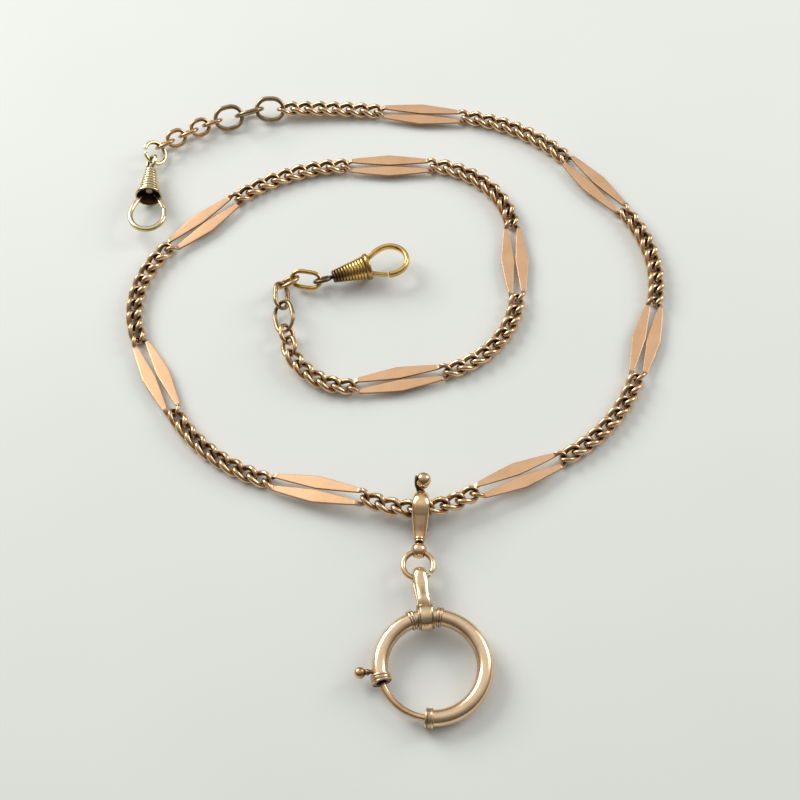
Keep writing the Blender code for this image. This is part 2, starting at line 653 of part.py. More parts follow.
def drop(parent, centre):
    """The drop: claw and lever round the middle run, bead, ring, shackle and bolt ring."""
    where = frame(centre, CLAW_TURN)
    arm = CLAW_OPENING + CLAW_THICKNESS / 2
    bead_y = -NECK_TO_BEAD
    shoulder = bead_y + BEAD_RADIUS + STEM_PLAY
    path = [(bead_y + 0.7, 0.0), (shoulder - 0.01, 0.0), (shoulder, 0.0), (shoulder + 0.7, 0.0)]
    size = [(0.4, 0.4), (0.4, 0.4), (CLAW_NECK, 0.8), (CLAW_NECK, 0.8)]
    path += [(-3.95, 0.25)]
    size += [(1.38, 0.7)]
    for angle, wide in ((152, 0.97), (128, 1.0), (104, 1.0), (80, 0.95), (56, 0.86), (32, 0.72)):
        a = math.radians(angle)
        path.append((arm * math.cos(a), arm * math.sin(a)))
        size.append((CLAW_WIDTH / 2 * wide, CLAW_THICKNESS / 2))
    points = [(0.0, y, z) for y, z in path]
    sections = [polygon(10, 1.0, 0.0) * s for s in size]
    ups = [(0, 0, 1)] * 5 + [(0, p[1], p[2]) for p in points[5:]]
    body = mesh_object("drop_clip_body", *sweep(points, ups, sections, False), where, ROSE, parent)

    pin = Vector((0.0, -arm - 0.9, -1.1))
    for side in (-1, 1):
        inner = side * 0.72
        outer = side * 1.22
        near = pin.y - CHEEK_HALF
        far = pin.y + CHEEK_HALF
        block = [
            [(inner, near, z), (outer, near, z), (outer, far, z), (inner, far, z)]
            for z in (pin.z - CHEEK_HALF, 0.15)
        ]
        name = "drop_clip_cheek_left" if side < 0 else "drop_clip_cheek_right"
        shape = skin([np.array(b) for b in block], False)
        combine(body, helper(name, *shape, where, parent), "UNION")
    across = Matrix.Translation(pin)
    bore = rod_shape(HOLE_HALF_LENGTH, PIN_RADIUS + FIXED_GAP)
    combine(body, helper("drop_clip_pin_hole", *moved(bore, across), where, parent), "DIFFERENCE")
    rod = rod_shape(PIN_HALF_LENGTH, PIN_RADIUS)
    mesh_object("drop_clip_pin", *moved(rod, across), where, DARK, body)

    low = CLAW_OPENING + LEVER_THICKNESS / 2
    lever = [(pin.y - 0.5, pin.z), (pin.y, pin.z), (pin.y + 0.75, pin.z - 0.12)]
    lever_size = [(0.5, 0.5), (0.55, 0.55), (0.55, 0.42)]
    for angle in (222, 246, 270, 294, 318):
        a = math.radians(angle)
        lever.append((low * math.cos(a), low * math.sin(a)))
        lever_size.append((1.05, LEVER_THICKNESS / 2))
    end_y = CLAW_OPENING + CLAW_THICKNESS + PLAY
    lever += [(end_y - 0.3, -0.75), (end_y + 0.45, 0.2), (end_y + 0.7, 1.2)]
    lever_size += [(0.9, 0.38), (0.7, 0.35), (0.6, 0.35)]
    points = [(0.0, y, z) for y, z in lever]
    ups = [(0, 0, 1)] * 3
    ups += [(0, -p[1], -p[2]) for p in points[3:8]]
    ups += [(0, -1, 1), (0, -1, 0.4), (0, -1, 0.1)]
    shape = sweep(points, ups, [polygon(8, 1.0, 0.0) * s for s in lever_size], False)
    gate_at = where @ Matrix.Translation(pin)
    gate = mesh_object("drop_clip_lever", *moved(shape, Matrix.Translation(-pin)), gate_at, DARK, body)
    hole = rod_shape(HOLE_HALF_LENGTH, LEVER_BORE)
    combine(gate, helper("drop_clip_lever_hole", *hole, gate_at, body), "DIFFERENCE")
    turns = [math.radians(t) for t in (24, 48, 72, 96, 120, 144, 164)]
    ball = [(-BALL_RADIUS, AXLE_END)]
    ball += [(-BALL_RADIUS * math.cos(t), BALL_RADIUS * math.sin(t)) for t in turns]
    ball += [(BALL_RADIUS, AXLE_END)]
    ball_at = gate_at @ Matrix.Translation(Vector((0.3, end_y + 0.75, 1.2 + BALL_RADIUS + FIXED_GAP)) - pin)
    mesh_object("drop_clip_ball", *turned_shape(ball, 10, False), ball_at, ROSE, gate)

    ring_half = (DROP_RING - DROP_WIRE) / 2
    sag = ring_half - math.sqrt(ring_half**2 - (BEAD_RADIUS * 0.96) ** 2)
    hole_radius = (DROP_WIRE + sag) / 2 + DROP_HOLE_PLAY
    bead_at = where @ Matrix.Translation((0.0, bead_y, 0.0)) @ Matrix.Rotation(math.pi / 2, 4, "Z")
    turns = [math.radians(t) for t in range(20, 150, 18)]
    outline = [(-BEAD_RADIUS, AXLE_END)]
    outline += [(-BEAD_RADIUS * math.cos(t), BEAD_RADIUS * math.sin(t)) for t in turns]
    outline += [(BEAD_RADIUS * 0.9, 0.4 + STEM_PLAY), (0.62, 0.4 + STEM_PLAY), (0.62, AXLE_END)]
    bead = mesh_object("swivel_bead", *turned_shape(outline, 12, False), bead_at, ROSE, body)
    drill_x = -0.42
    drill = rod_shape(HOLE_HALF_LENGTH, hole_radius, 12)
    drill_at = bead_at @ Matrix.Translation((drill_x, 0, 0)) @ Matrix.Rotation(math.pi / 2, 4, "Z")
    combine(bead, helper("swivel_bead_hole", *drill, drill_at, body), "DIFFERENCE")

    ring_at = frame(bead_at @ Vector((drill_x, 0.0, 0.0)), DROP_HEADING, DROP_RISE)
    reach = ring_half - sag / 2
    flat = np.radians(np.arange(16) * 22.5)
    path = np.stack([np.cos(flat) * ring_half, np.sin(flat) * ring_half, 0 * flat], 1)
    shape = sweep(path, [(0, 0, 1)] * 16, [polygon(LINK_SIDES, DROP_WIRE / 2)] * 16, True)
    ring = mesh_object("drop_ring", *shifted(shape, reach), ring_at, ROSE, bead)

    held = math.radians(SHACKLE_HEADING - DROP_HEADING)
    far = ring_at @ Vector((reach + ring_half * math.cos(held), ring_half * math.sin(held), 0.0))
    shackle_at = frame(far, SHACKLE_HEADING, DROP_RISE)
    band_sag = ring_half - math.sqrt(ring_half**2 - (SHACKLE_WIDTH / 2) ** 2)
    inner = DROP_WIRE / 2 + band_sag + PLAY
    mid = inner + SHACKLE_BAND / 2
    sleeve_in = TUBE / 2 + SLEEVE_PLAY
    sleeve_out = sleeve_in + SLEEVE_WALL
    points = []
    for angle in np.linspace(90, 270, 7):
        a = math.radians(angle)
        points.append((mid * math.cos(a), 0.0, mid * math.sin(a)))
    foot = SHACKLE_REACH - sleeve_in - SLEEVE_WALL * 0.55
    points += [(foot, 0.0, -mid), (foot, 0.0, mid)]
    flat_band = np.array([(1, 1), (-1, 1), (-1, -1), (1, -1)]) * (SHACKLE_BAND / 2, SHACKLE_WIDTH / 2)
    loop = sweep(points, [(0, 1, 0)] * len(points), [flat_band] * len(points), True)
    shackle = mesh_object("shackle", *loop, shackle_at, PALE, ring)
    half = SHACKLE_WIDTH / 2
    edge = sleeve_out - SLEEVE_CROWN
    crown = [(-half, edge), (-half / 2, sleeve_out), (half / 2, sleeve_out), (half, edge)]
    outline = [(-half, sleeve_in), *crown, (half, sleeve_in)]
    turn = Matrix.Translation((SHACKLE_REACH, 0, 0)) @ Matrix.Rotation(math.pi / 2, 4, "Z")
    sleeve = moved(turned_shape(outline, 14, True), turn)
    combine(shackle, helper("shackle_sleeve", *sleeve, shackle_at, ring), "UNION")

    top = shackle_at @ Vector((SHACKLE_REACH, 0.0, 0.0))
    tilt = Matrix.Rotation(math.radians(BOLT_RING_TILT), 4, "X")
    spin = Matrix.Rotation(math.radians(SHACKLE_HEADING + 180 - SHACKLE_ANGLE), 4, "Z")
    hub = Matrix.Translation(top) @ tilt @ spin
    a = math.radians(SHACKLE_ANGLE)
    hub = hub @ Matrix.Translation((-RING_RADIUS * math.cos(a), -RING_RADIUS * math.sin(a), 0.0))
    bolt_ring(hub, shackle)


def set_on_table(top_piece):
    """Moves the whole chain so that it stands on the table with its box centred on the origin."""
    bpy.context.view_layer.update()
    corners = []
    for obj in bpy.context.scene.objects:
        if not obj.hide_render:
            corners += [obj.matrix_world @ v.co for v in obj.data.vertices]
    corners = np.array(corners)
    low = corners.min(axis=0)
    high = corners.max(axis=0)
    shift = Vector(((low[0] + high[0]) / 2, (low[1] + high[1]) / 2, low[2]))
    top_piece.location -= shift


root, starts, crossing = middle_run()
outer_branch(starts[0], root, crossing.z)
inner_branch(starts[1], root, crossing.z)
drop(root, crossing)
set_on_table(root)
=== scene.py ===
"""The looks of a rose gold pocket watch chain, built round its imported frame.

Every piece is a surface worked out from two parameters, most often a section carried along a path. Lengths here
are in millimetres and are turned into metres when a mesh is made. A piece's place comes from the joints of the
frame: a link starts at its own joint and points at the next one.
"""

import json
import math

import bpy
import numpy as np
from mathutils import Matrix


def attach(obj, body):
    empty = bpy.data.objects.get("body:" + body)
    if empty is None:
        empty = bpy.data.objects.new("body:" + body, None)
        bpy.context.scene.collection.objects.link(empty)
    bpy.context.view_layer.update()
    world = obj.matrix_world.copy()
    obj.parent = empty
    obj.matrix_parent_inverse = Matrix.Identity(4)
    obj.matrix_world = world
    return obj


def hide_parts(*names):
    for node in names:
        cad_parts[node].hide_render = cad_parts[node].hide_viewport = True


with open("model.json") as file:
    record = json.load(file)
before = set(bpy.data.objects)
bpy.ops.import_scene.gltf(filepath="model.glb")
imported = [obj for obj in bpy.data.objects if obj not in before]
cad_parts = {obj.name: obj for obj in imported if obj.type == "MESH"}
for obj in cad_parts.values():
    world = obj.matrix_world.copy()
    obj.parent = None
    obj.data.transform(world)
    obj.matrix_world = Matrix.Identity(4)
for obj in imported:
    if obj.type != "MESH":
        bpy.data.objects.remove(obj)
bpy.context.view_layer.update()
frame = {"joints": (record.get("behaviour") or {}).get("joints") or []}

MM = 0.001
UP = np.array([0.0, 0.0, 1.0])
FINE = 720  # points on an outline before it is divided evenly
ON_AXIS = 0.02  # the radius of the tiny flat that closes a turned end

# Sizes that the frame was made with
WIRE = 0.85
PLAY = 0.2
CURB_PITCH = 2.95
RUN_BITE = 0.34
HALF_WIDTH = 1.25
JOINT_DEPTH = WIRE + PLAY
LONG_LINK = 20.0
PLATE_WIDTH = 2.6
PLATE_GAP = 0.2
PLATE_THICKNESS = 0.45
NECK_LENGTH = 1.9
OVAL_WIRE = 0.95
TWIST = math.radians(45)
HALF_RUN_TURN = 9.0
CROSSING_HEADING = 3.0
DRAWN = 0.97  # wires are drawn this much under their full size, so that they stay inside the frame
DRAWN_IN = 0.04  # share of a run's bow that is taken out, to keep its thicker wire within the frame
CURB_WIRE = 1.05  # the curb wire at full size; the frame's runs are thinner, so that their hinges have play


# ---------------------------------------------------------------- surfaces

def unit(v):
    v = np.asarray(v, float)
    return v / np.linalg.norm(v, axis=-1, keepdims=True)


def smooth(t):
    """Eases from 0 to 1 with no corner at either end: t squared times three minus two t."""
    t = np.clip(t, 0, 1)
    return t * t * (3 - 2 * t)


def bump(x, centre, width):
    """A bell curve of height one."""
    return np.exp(-(((x - centre) / width) ** 2))


def circle_angles(count):
    return np.arange(count) * (2 * math.pi / count)


def rounded(angles, half_wide, half_tall, power=2.0):
    """A superellipse: each coordinate is its half size times a cosine or sine raised to 2 / power, sign kept.
    Half sizes and power may each hold one value per station, and the result is stations x angles x 2."""
    half_wide, half_tall, power = (np.atleast_1d(np.asarray(a, float))[:, None] for a in (half_wide, half_tall, power))
    c = np.cos(angles)[None]
    s = np.sin(angles)[None]
    x = half_wide * np.sign(c) * np.abs(c) ** (2 / power)
    y = half_tall * np.sign(s) * np.abs(s) ** (2 / power)
    return np.stack(np.broadcast_arrays(x, y), -1)


def carry(path, ups, section, loop):
    """Carries a section along a path: its first number goes out to the side (along x up), its second along up."""
    path = np.asarray(path, float)
    ups = np.broadcast_to(np.asarray(ups, float), path.shape)
    if loop:
        along = np.roll(path, -1, 0) - np.roll(path, 1, 0)
    else:
        along = np.gradient(path, axis=0)
    along = unit(along)
    side = unit(np.cross(along, ups))
    up = np.cross(side, along)
    section = np.broadcast_to(section, (len(path),) + section.shape[-2:])
    return path[:, None] + section[..., :1] * side[:, None] + section[..., 1:] * up[:, None]


def turned(profile, around):
    """Turns a profile of (along, radius) rows round the X axis: a point goes to (x, r cos a, r sin a)."""
    profile = np.asarray(profile, float)
    a = circle_angles(around)
    x = np.repeat(profile[:, :1], around, 1)
    return np.stack([x, profile[:, 1:] * np.cos(a), profile[:, 1:] * np.sin(a)], -1)


def turned_row(rows, around):
    """The surface and the darkening of a turned piece, tarnish and painted shade, from rows of (along, radius,
    darkening).
    """
    rows = np.asarray(rows, float)
    return turned(rows[:, :2], around), rows[:, 2:]


def evenly(points, count):
    """The same closed line, with count points at even distances round it."""
    line = np.vstack([points, points[:1]])
    far = np.concatenate([[0], np.cumsum(np.linalg.norm(np.diff(line, axis=0), axis=1))])
    at = np.linspace(0, far[-1], count + 1)[:-1]
    return np.stack([np.interp(at, far, line[:, k]) for k in range(line.shape[1])], 1)


def through(points, per_gap):
    """A Catmull-Rom curve: between two points, a cubic whose end slopes are half the step across its neighbours."""
    p = np.asarray(points, float)
    p = np.vstack([2 * p[0] - p[1], p, 2 * p[-1] - p[-2]])
    t = np.linspace(0, 1, per_gap, endpoint=False)[None, :, None]
    a, b, c, d = p[:-3, None], p[1:-2, None], p[2:-1, None], p[3:, None]
    curve = 0.5 * (2 * b + (c - a) * t + (2 * a - 5 * b + 4 * c - d) * t**2 + (3 * b - a - 3 * c + d) * t**3)
    return np.vstack([curve.reshape(-1, p.shape[1]), p[-2:-1]])


def oval(half_length, half_width, count):
    """An oval with round ends: a half circle at each end, carried apart by the straight sides."""
    a = circle_angles(FINE)
    reach = half_length - half_width
    line = np.stack([reach * np.sign(np.cos(a)) + half_width * np.cos(a), half_width * np.sin(a)], 1)
    return evenly(line, count)


def ellipse(half_length, half_width, count):
    """An ellipse, at even distances, that starts at the same place as the oval."""
    a = circle_angles(FINE)
    return evenly(np.stack([half_length * np.cos(a), half_width * np.sin(a)], 1), count)


def lifted(flat, roll):
    """Flat points taken into space, each turned round the X axis by its own angle, with the up vector of each."""
    roll = np.broadcast_to(roll, (len(flat),))
    path = np.column_stack([flat[:, 0], flat[:, 1] * np.cos(roll), flat[:, 1] * np.sin(roll)])
    ups = np.column_stack([np.zeros(len(flat)), -np.sin(roll), np.cos(roll)])
    return path, ups


class Place:
    """An origin with three axes: where a piece's own frame lies in the part."""

    def __init__(self, origin, x, roll=0.0, z=None):
        x = unit(x)
        side = unit(np.cross(UP if z is None else z, x))
        high = np.cross(x, side)
        c, s = math.cos(math.radians(roll)), math.sin(math.radians(roll))
        self.origin = np.asarray(origin, float)
        self.axes = np.stack([x, c * side + s * high, -s * side + c * high])

    def __call__(self, points):
        return self.origin + np.asarray(points, float) @ self.axes

    def moved(self, x=0.0, y=0.0, z=0.0):
        made = Place.__new__(Place)
        made.origin = self(np.array([x, y, z]))
        made.axes = self.axes
        return made

    def turned(self, order):
        """The same origin with its axes swapped, as a list of (axis number, sign)."""
        made = Place.__new__(Place)
        made.origin = self.origin
        made.axes = np.stack([sign * self.axes[k] for k, sign in order])
        return made


class Piece:
    """Gathers surfaces and makes one mesh of them, with how dark each point is painted, for tarnish and for shade, and
    how polished it is.
    """

    def __init__(self):
        self.points, self.faces, self.grime, self.polish, self.count = [], [], [], [], 0

    def add(self, grid, place=None, loop=False, grime=0.0, polish=1.0):
        """A grid of points whose columns close round. Its rows close too when loop is set, else its ends are capped.
        The faces are turned round where the volume that they enclose comes out below nothing."""
        rows, around = grid.shape[:2]
        index = self.count + np.arange(rows * around).reshape(rows, around)
        nxt = np.roll(index, -1, 1)
        top = np.roll(index, -1, 0) if loop else index[1:]
        low = index if loop else index[:-1]
        quads = np.stack([low, nxt if loop else nxt[:-1], np.roll(top, -1, 1), top], -1).reshape(-1, 4)
        points = grid.reshape(-1, 3)
        a, b, c, d = np.moveaxis(points[quads - self.count] - grid.mean((0, 1)), 1, 0)
        volume = (a * np.cross(b, c)).sum() + (a * np.cross(c, d)).sum()
        caps = [] if loop else [index[0][::-1], index[-1]]
        if volume < 0:
            quads = quads[:, ::-1]
            caps = [cap[::-1] for cap in caps]
        self.faces += quads.tolist() + [cap.tolist() for cap in caps]
        self.points.append(points if place is None else place(points))
        self.grime.append(np.broadcast_to(grime, (rows, around)).reshape(-1))
        self.polish.append(np.broadcast_to(polish, (rows, around)).reshape(-1))
        self.count += rows * around
        return self

    def make(self, name, body, finish, slot="rose", crease=35.0):
        mesh = bpy.data.meshes.new(name)
        points = np.concatenate(self.points) * MM
        mesh.from_pydata(points.tolist(), [], self.faces)
        for label, values in (("grime", self.grime), ("polish", self.polish)):
            layer = mesh.attributes.new(label, "FLOAT", "POINT")
            layer.data.foreach_set("value", np.concatenate(values).astype(np.float32))
        mesh.polygons.foreach_set("use_smooth", [True] * len(mesh.polygons))
        mesh.set_sharp_from_angle(angle=math.radians(crease))
        mesh.materials.append(finish)
        mesh.update()
        made = bpy.data.objects.new(name, mesh)
        bpy.context.scene.collection.objects.link(made)
        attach(made, body)
        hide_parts(name)
        return made


def cut(piece, grid, place):
    """Takes the solid of a capped grid out of a finished piece."""
    tool = Piece().add(grid, place)
    mesh = bpy.data.meshes.new("cutter")
    mesh.from_pydata((np.concatenate(tool.points) * MM).tolist(), [], tool.faces)
    cutter = bpy.data.objects.new("cutter", mesh)
    bpy.context.scene.collection.objects.link(cutter)
    step = piece.modifiers.new("cut", "BOOLEAN")
    step.operation, step.solver, step.object = "DIFFERENCE", "EXACT", cutter
    graph = bpy.context.evaluated_depsgraph_get()
    made = bpy.data.meshes.new_from_object(piece.evaluated_get(graph), depsgraph=graph)
    piece.modifiers.clear()
    old = piece.data
    piece.data = made
    bpy.data.meshes.remove(old)
    bpy.data.objects.remove(cutter)
    bpy.data.meshes.remove(mesh)


# ---------------------------------------------------------------- finishes

class Signal:
    """A socket that can be used in sums: each operator adds a Math node."""

    def __init__(self, tree, socket):
        self.tree, self.socket = tree, socket

    def node(self, kind, settings=None, **inputs):
        """Adds a node of any kind: settings first, then values or links for its named or numbered sockets."""
        made = self.tree.nodes.new(kind)
        for key, value in (settings or {}).items():
            setattr(made, key, value)
        for key, value in inputs.items():
            socket = made.inputs[int(key[1:]) if key[0] == "i" and key[1:].isdigit() else key.replace("_", " ")]
            if isinstance(value, Signal):
                self.tree.links.new(value.socket, socket)
            else:
                socket.default_value = value
        return made

    def out(self, made, name=0):
        return Signal(self.tree, made.outputs[name])

    def maths(self, operation, a, b=0.0, clamp=False):
        made = self.node("ShaderNodeMath", {"operation": operation, "use_clamp": clamp}, i0=a, i1=b)
        return self.out(made)

    def __add__(self, other):
        return self.maths("ADD", self, other)

    def __sub__(self, other):
        return self.maths("SUBTRACT", self, other)

    def __mul__(self, other):
        return self.maths("MULTIPLY", self, other)

    def __rsub__(self, other):
        return self.maths("SUBTRACT", other, self)

    __radd__ = __add__
    __rmul__ = __mul__

    def held(self):
        """Kept between 0 and 1."""
        return self.maths("ADD", self, 0.0, True)

    def noise(self, scale, detail=3.0, rough=0.55, stretch=None):
        """Cloudy noise on this vector, between about 0 and 1; stretch scales the three axes apart."""
        where = self
        if stretch is not None:
            where = self.out(self.node("ShaderNodeMapping", None, Vector=self, Scale=stretch))
        made = self.node("ShaderNodeTexNoise", None, Vector=where, Scale=scale, Detail=detail, Roughness=rough)
        return self.out(made, "Fac")

    def blended(self, first, second):
        """The first colour where this is 0, the second where it is 1."""
        settings = {"data_type": "RGBA", "clamp_factor": True}
        made = self.node("ShaderNodeMix", settings, i0=self, i6=first, i7=second)
        return self.out(made, 2)


def colour(r, g, b):
    """A colour given as it is seen on a screen, from 0 to 255, made linear."""
    c = np.array([r, g, b]) / 255
    return (*np.where(c <= 0.04045, c / 12.92, ((c + 0.055) / 1.055) ** 2.4), 1.0)


CLOUDS, SPECKS, MARKS = 320.0, 2600.0, 900.0  # noise scales, per metre
MARK_STRETCH = (1.0, 7.0, 1.0)
DENT = 0.02 * MM


def gold(name, bright, warm, dirt_and_shade, rough, satin_rough=None, wear=0.5, grain=0.35):
    """Worn gold plate: two tones in soft clouds, dark brown where the mesh's darkening is high, which paints tarnish
    and also shade in hollows, under parts and where parts meet, and fine handling marks in the gloss.
    """
    made = bpy.data.materials.new(name)
    made.use_nodes = True
    tree = made.node_tree
    shader = tree.nodes["Principled BSDF"]
    start = Signal(tree, None)
    where = start.out(start.node("ShaderNodeTexCoord"), "Object")
    grime = start.out(start.node("ShaderNodeAttribute", {"attribute_name": "grime"}), "Fac")
    polish = start.out(start.node("ShaderNodeAttribute", {"attribute_name": "polish"}), "Fac")
    clouds = where.noise(CLOUDS)
    specks = where.noise(SPECKS, 4.0, 0.7)
    marks = where.noise(MARKS, 2.0, 0.6, MARK_STRETCH)
    # The mesh's darkening holds painted shade as well as tarnish, so this mix paints both towards the dark brown.
    tarnish = (grime * 1.15 + (clouds - 0.5) * wear + (specks - 0.5) * 0.35).held()
    tone = ((clouds - 0.3) * 1.6).held()
    base = tone.blended(bright, warm)
    base = tarnish.blended(base, dirt_and_shade)
    gloss = polish * (rough - (satin_rough or rough)) + (satin_rough or rough)
    roughness = (gloss + tarnish * 0.22 + (specks - 0.5) * 0.14 + (marks - 0.5) * 0.1).held()
    height = specks * 0.6 + marks * 0.4
    dented = start.node("ShaderNodeBump", None, Strength=grain, Distance=DENT, Height=height)
    tree.links.new(base.socket, shader.inputs["Base Color"])
    tree.links.new(roughness.socket, shader.inputs["Roughness"])
    tree.links.new(dented.outputs[0], shader.inputs["Normal"])
    shader.inputs["Metallic"].default_value = 1.0
    return made


# The dark brown painted for tarnish and for shade in hollows, under parts and where parts meet.
BROWN = colour(62, 42, 26)
rose = gold("rose_gold", colour(240, 204, 160), colour(214, 168, 122), BROWN, 0.19, None, 0.6)
brown_gold = gold("browned_rose_gold", colour(218, 178, 132), colour(182, 140, 98), BROWN, 0.23, None, 0.7)
plate_gold = gold("satin_rose_gold", colour(232, 190, 150), colour(222, 176, 134), BROWN, 0.2, 0.4, 0.2, 0.5)
pale = gold("pale_gold", colour(244, 226, 184), colour(228, 202, 152), colour(84, 62, 36), 0.16)
yellow = gold("yellow_gold", colour(238, 198, 120), colour(214, 164, 88), colour(70, 48, 36), 0.19)
dull = gold("tarnished_gold", colour(184, 158, 120), colour(142, 116, 84), colour(52, 38, 26), 0.26, None, 0.8)
dark = gold("blackened_gold", colour(126, 106, 90), colour(90, 72, 60), colour(34, 26, 22), 0.28, None, 0.7)
ring_gold = gold("worn_rose_gold", colour(242, 212, 176), colour(230, 192, 152), BROWN, 0.22, None, 0.22, 0.14)
shackle_gold = gold("worn_pale_gold", colour(240, 214, 174), colour(220, 188, 146), colour(72, 50, 32), 0.19, None, 0.4)


# ---------------------------------------------------------------- camera, light and table

LOOK_AT = (1.47, -4.85, 1.1)
CAMERA_FAR = 285.0
CAMERA_HEIGHT = math.radians(57.5)
CAMERA_LENS = 70.0
TABLE_REACH = 2500.0
ROOM_LOW = (0.12, 0.10, 0.085)
ROOM_STOPS = ((0.22, (0.3, 0.275, 0.25)), (0.5, (0.62, 0.61, 0.59)))
ROOM_TOP = (0.86, 0.87, 0.87)
DARK_SIDE = (0.04, 0.034, 0.03, 1)


def aimed(obj, place, target):
    """Puts an object at a place in millimetres, with its own -Z axis towards the target."""
    at = np.asarray(place, float)
    back = unit(at - np.asarray(target, float))
    obj.location = at * MM
    pitch = math.acos(np.clip(back[2], -1, 1))
    obj.rotation_euler = (pitch, 0.0, math.atan2(back[0], -back[1]))
    bpy.context.scene.collection.objects.link(obj)
    return obj


def camera():
    data = bpy.data.cameras.new("camera")
    data.lens = CAMERA_LENS
    data.sensor_width = 36.0
    data.clip_start = 0.01
    data.clip_end = 10.0
    away = np.array([0.0, -math.cos(CAMERA_HEIGHT), math.sin(CAMERA_HEIGHT)]) * CAMERA_FAR
    made = bpy.data.objects.new("camera", data)
    aimed(made, np.array(LOOK_AT) + away, LOOK_AT)
    bpy.context.scene.camera = made


def lamp(name, place, target, size, power, tint):
    data = bpy.data.lights.new(name, "AREA")
    data.shape = "RECTANGLE"
    data.size, data.size_y = size[0] * MM, size[1] * MM
    data.energy = power
    data.color = tint
    aimed(bpy.data.objects.new(name, data), place, target)


def table():
    """A wide pale table whose far corners stay out of view."""
    reach = TABLE_REACH * MM
    corners = [(-reach, -reach, 0), (reach, -reach, 0), (reach, reach, 0), (-reach, reach, 0)]
    mesh = bpy.data.meshes.new("table")
    mesh.from_pydata(corners, [], [(0, 1, 2, 3)])
    made = bpy.data.objects.new("table", mesh)
    bpy.context.scene.collection.objects.link(made)
    cloth = bpy.data.materials.new("pale_table")
    cloth.use_nodes = True
    tree = cloth.node_tree
    shader = tree.nodes["Principled BSDF"]
    start = Signal(tree, None)
    where = start.out(start.node("ShaderNodeTexCoord"), "Object")
    soft = where.noise(14.0, 2.0)
    tone = soft.blended(colour(221, 224, 220), colour(229, 232, 228))
    tree.links.new(tone.socket, shader.inputs["Base Color"])
    shader.inputs["Roughness"].default_value = 0.85
    mesh.materials.append(cloth)


def room():
    """Light from all round: bright above and behind, dim low down and towards the camera, so that gold has something
    dark to show. Height and depth are the world direction's own Z and Y."""
    world = bpy.data.worlds.new("room")
    bpy.context.scene.world = world
    world.use_nodes = True
    tree = world.node_tree
    start = Signal(tree, None)
    where = start.out(start.node("ShaderNodeTexCoord"), "Generated")
    split = start.node("ShaderNodeSeparateXYZ", None, Vector=where)
    height, depth = start.out(split, 2), start.out(split, 1)
    ramp = start.node("ShaderNodeValToRGB", None, Fac=height)
    stops = ramp.color_ramp.elements
    stops[0].position, stops[0].color = 0.0, (*ROOM_LOW, 1)
    stops[1].position, stops[1].color = 1.0, (*ROOM_TOP, 1)
    for at, tone in ROOM_STOPS:
        stops.new(at).color = (*tone, 1)
    behind = ((depth + 0.62) * 1.25).held()
    shade = (behind * 0.78 + 0.22).blended(DARK_SIDE, start.out(ramp, 0))
    back = tree.nodes["Background"]
    tree.links.new(shade.socket, back.inputs["Color"])
    back.inputs["Strength"].default_value = 1.0


bpy.context.scene.view_settings.view_transform = "Standard"
camera()
room()
table()
lamp("window", (-400, 330, 330), (0, 0, 0), (380, 320), 2.75, (1.0, 0.99, 0.975))
lamp("side_window", (420, 210, 250), (0, 0, 0), (230, 260), 0.95, (1.0, 0.985, 0.965))


# ---------------------------------------------------------------- places of the pieces

joints = {joint["child"]: joint for joint in frame["joints"]}


def joint_at(child):
    return np.array(joints[child]["pos_m"]) / MM


def heading_of(vector):
    return math.degrees(math.atan2(vector[1], vector[0]))


def along(heading, pitch=0.0):
    h, p = math.radians(heading), math.radians(pitch)
    return np.array([math.cos(h) * math.cos(p), math.sin(h) * math.cos(p), math.sin(p)])


outer = ["fancy_link_04"]
for number in (3, 2, 1):
    outer += [f"curb_run_{number + 1:02d}", f"fancy_link_{number:02d}"]
outer += ["curb_run_01"] + [f"outer_oval_{n}" for n in (1, 2, 3)] + [f"outer_small_{n}" for n in range(1, 6)]
outer += ["jump_ring", "clip_A_eye", "clip_A_barrel"]
inner = ["fancy_link_05"]
for number in range(6, 11):
    inner += [f"curb_run_{number:02d}", f"fancy_link_{number:02d}"]
inner += ["curb_run_11", "inner_small_1", "inner_small_2", "inner_large", "inner_oval_1", "inner_round"]
inner += ["inner_oval_2", "clip_B_eye", "clip_B_barrel"]


def steps(names):
    """Each name with its own joint and the next one."""
    points = {name: joint_at(name) for name in names}
    return [(name, points[name], points[after]) for name, after in zip(names, names[1:])]


# ---------------------------------------------------------------- chain links

WIRE_AROUND = 14
CURB_STATIONS = 44
HINGE_WIRE = WIRE * 0.96
MIDDLE_COUNT = 7
RUN_COUNTS = {"curb_run_01": 7, "curb_run_11": 5}  # the others hold 8 links


def curb_sizes(count):
    """Pitch and half length of links that just touch, in a run as long as the frame's."""
    cad_half = (CURB_PITCH + WIRE * (1 - RUN_BITE)) / 2
    pitch = ((count - 1) * CURB_PITCH + 2 * cad_half - CURB_WIRE) / count
    return pitch, (pitch + CURB_WIRE) / 2


def curb_link(half, first, last):
    """An oval of wire about its centre, rolled an eighth of a turn at each tip by a sine of the distance along it.
    The wire is worn thinner at the tip that turns in the next piece, so that the hinge keeps its play."""
    flat = oval(half, HALF_WIDTH - (CURB_WIRE - WIRE) / 2, CURB_STATIONS)
    share = np.clip(flat[:, 0] / half, -1, 1)
    path, ups = lifted(flat, TWIST * np.sin(math.pi / 2 * share))
    a = circle_angles(WIRE_AROUND)
    worn = first * smooth(-share * 1.6 - 0.2) + last * smooth(share * 1.6 - 0.2)
    radius = (CURB_WIRE - (CURB_WIRE - HINGE_WIRE) * worn) / 2 * DRAWN
    grid = carry(path, ups, rounded(a, radius, radius), True)
    # Tarnish and painted shade on the inner side of the wire, most at the tips where the next link passes, and a little
    # all round the tips.
    inside = np.clip(0.25 - np.cos(a), 0, 1)[None]
    tips = smooth((np.abs(share) - 0.2) / 0.6)[:, None]
    grime = inside * (0.6 + 0.4 * tips) + 0.14 * tips
    return grid, grime


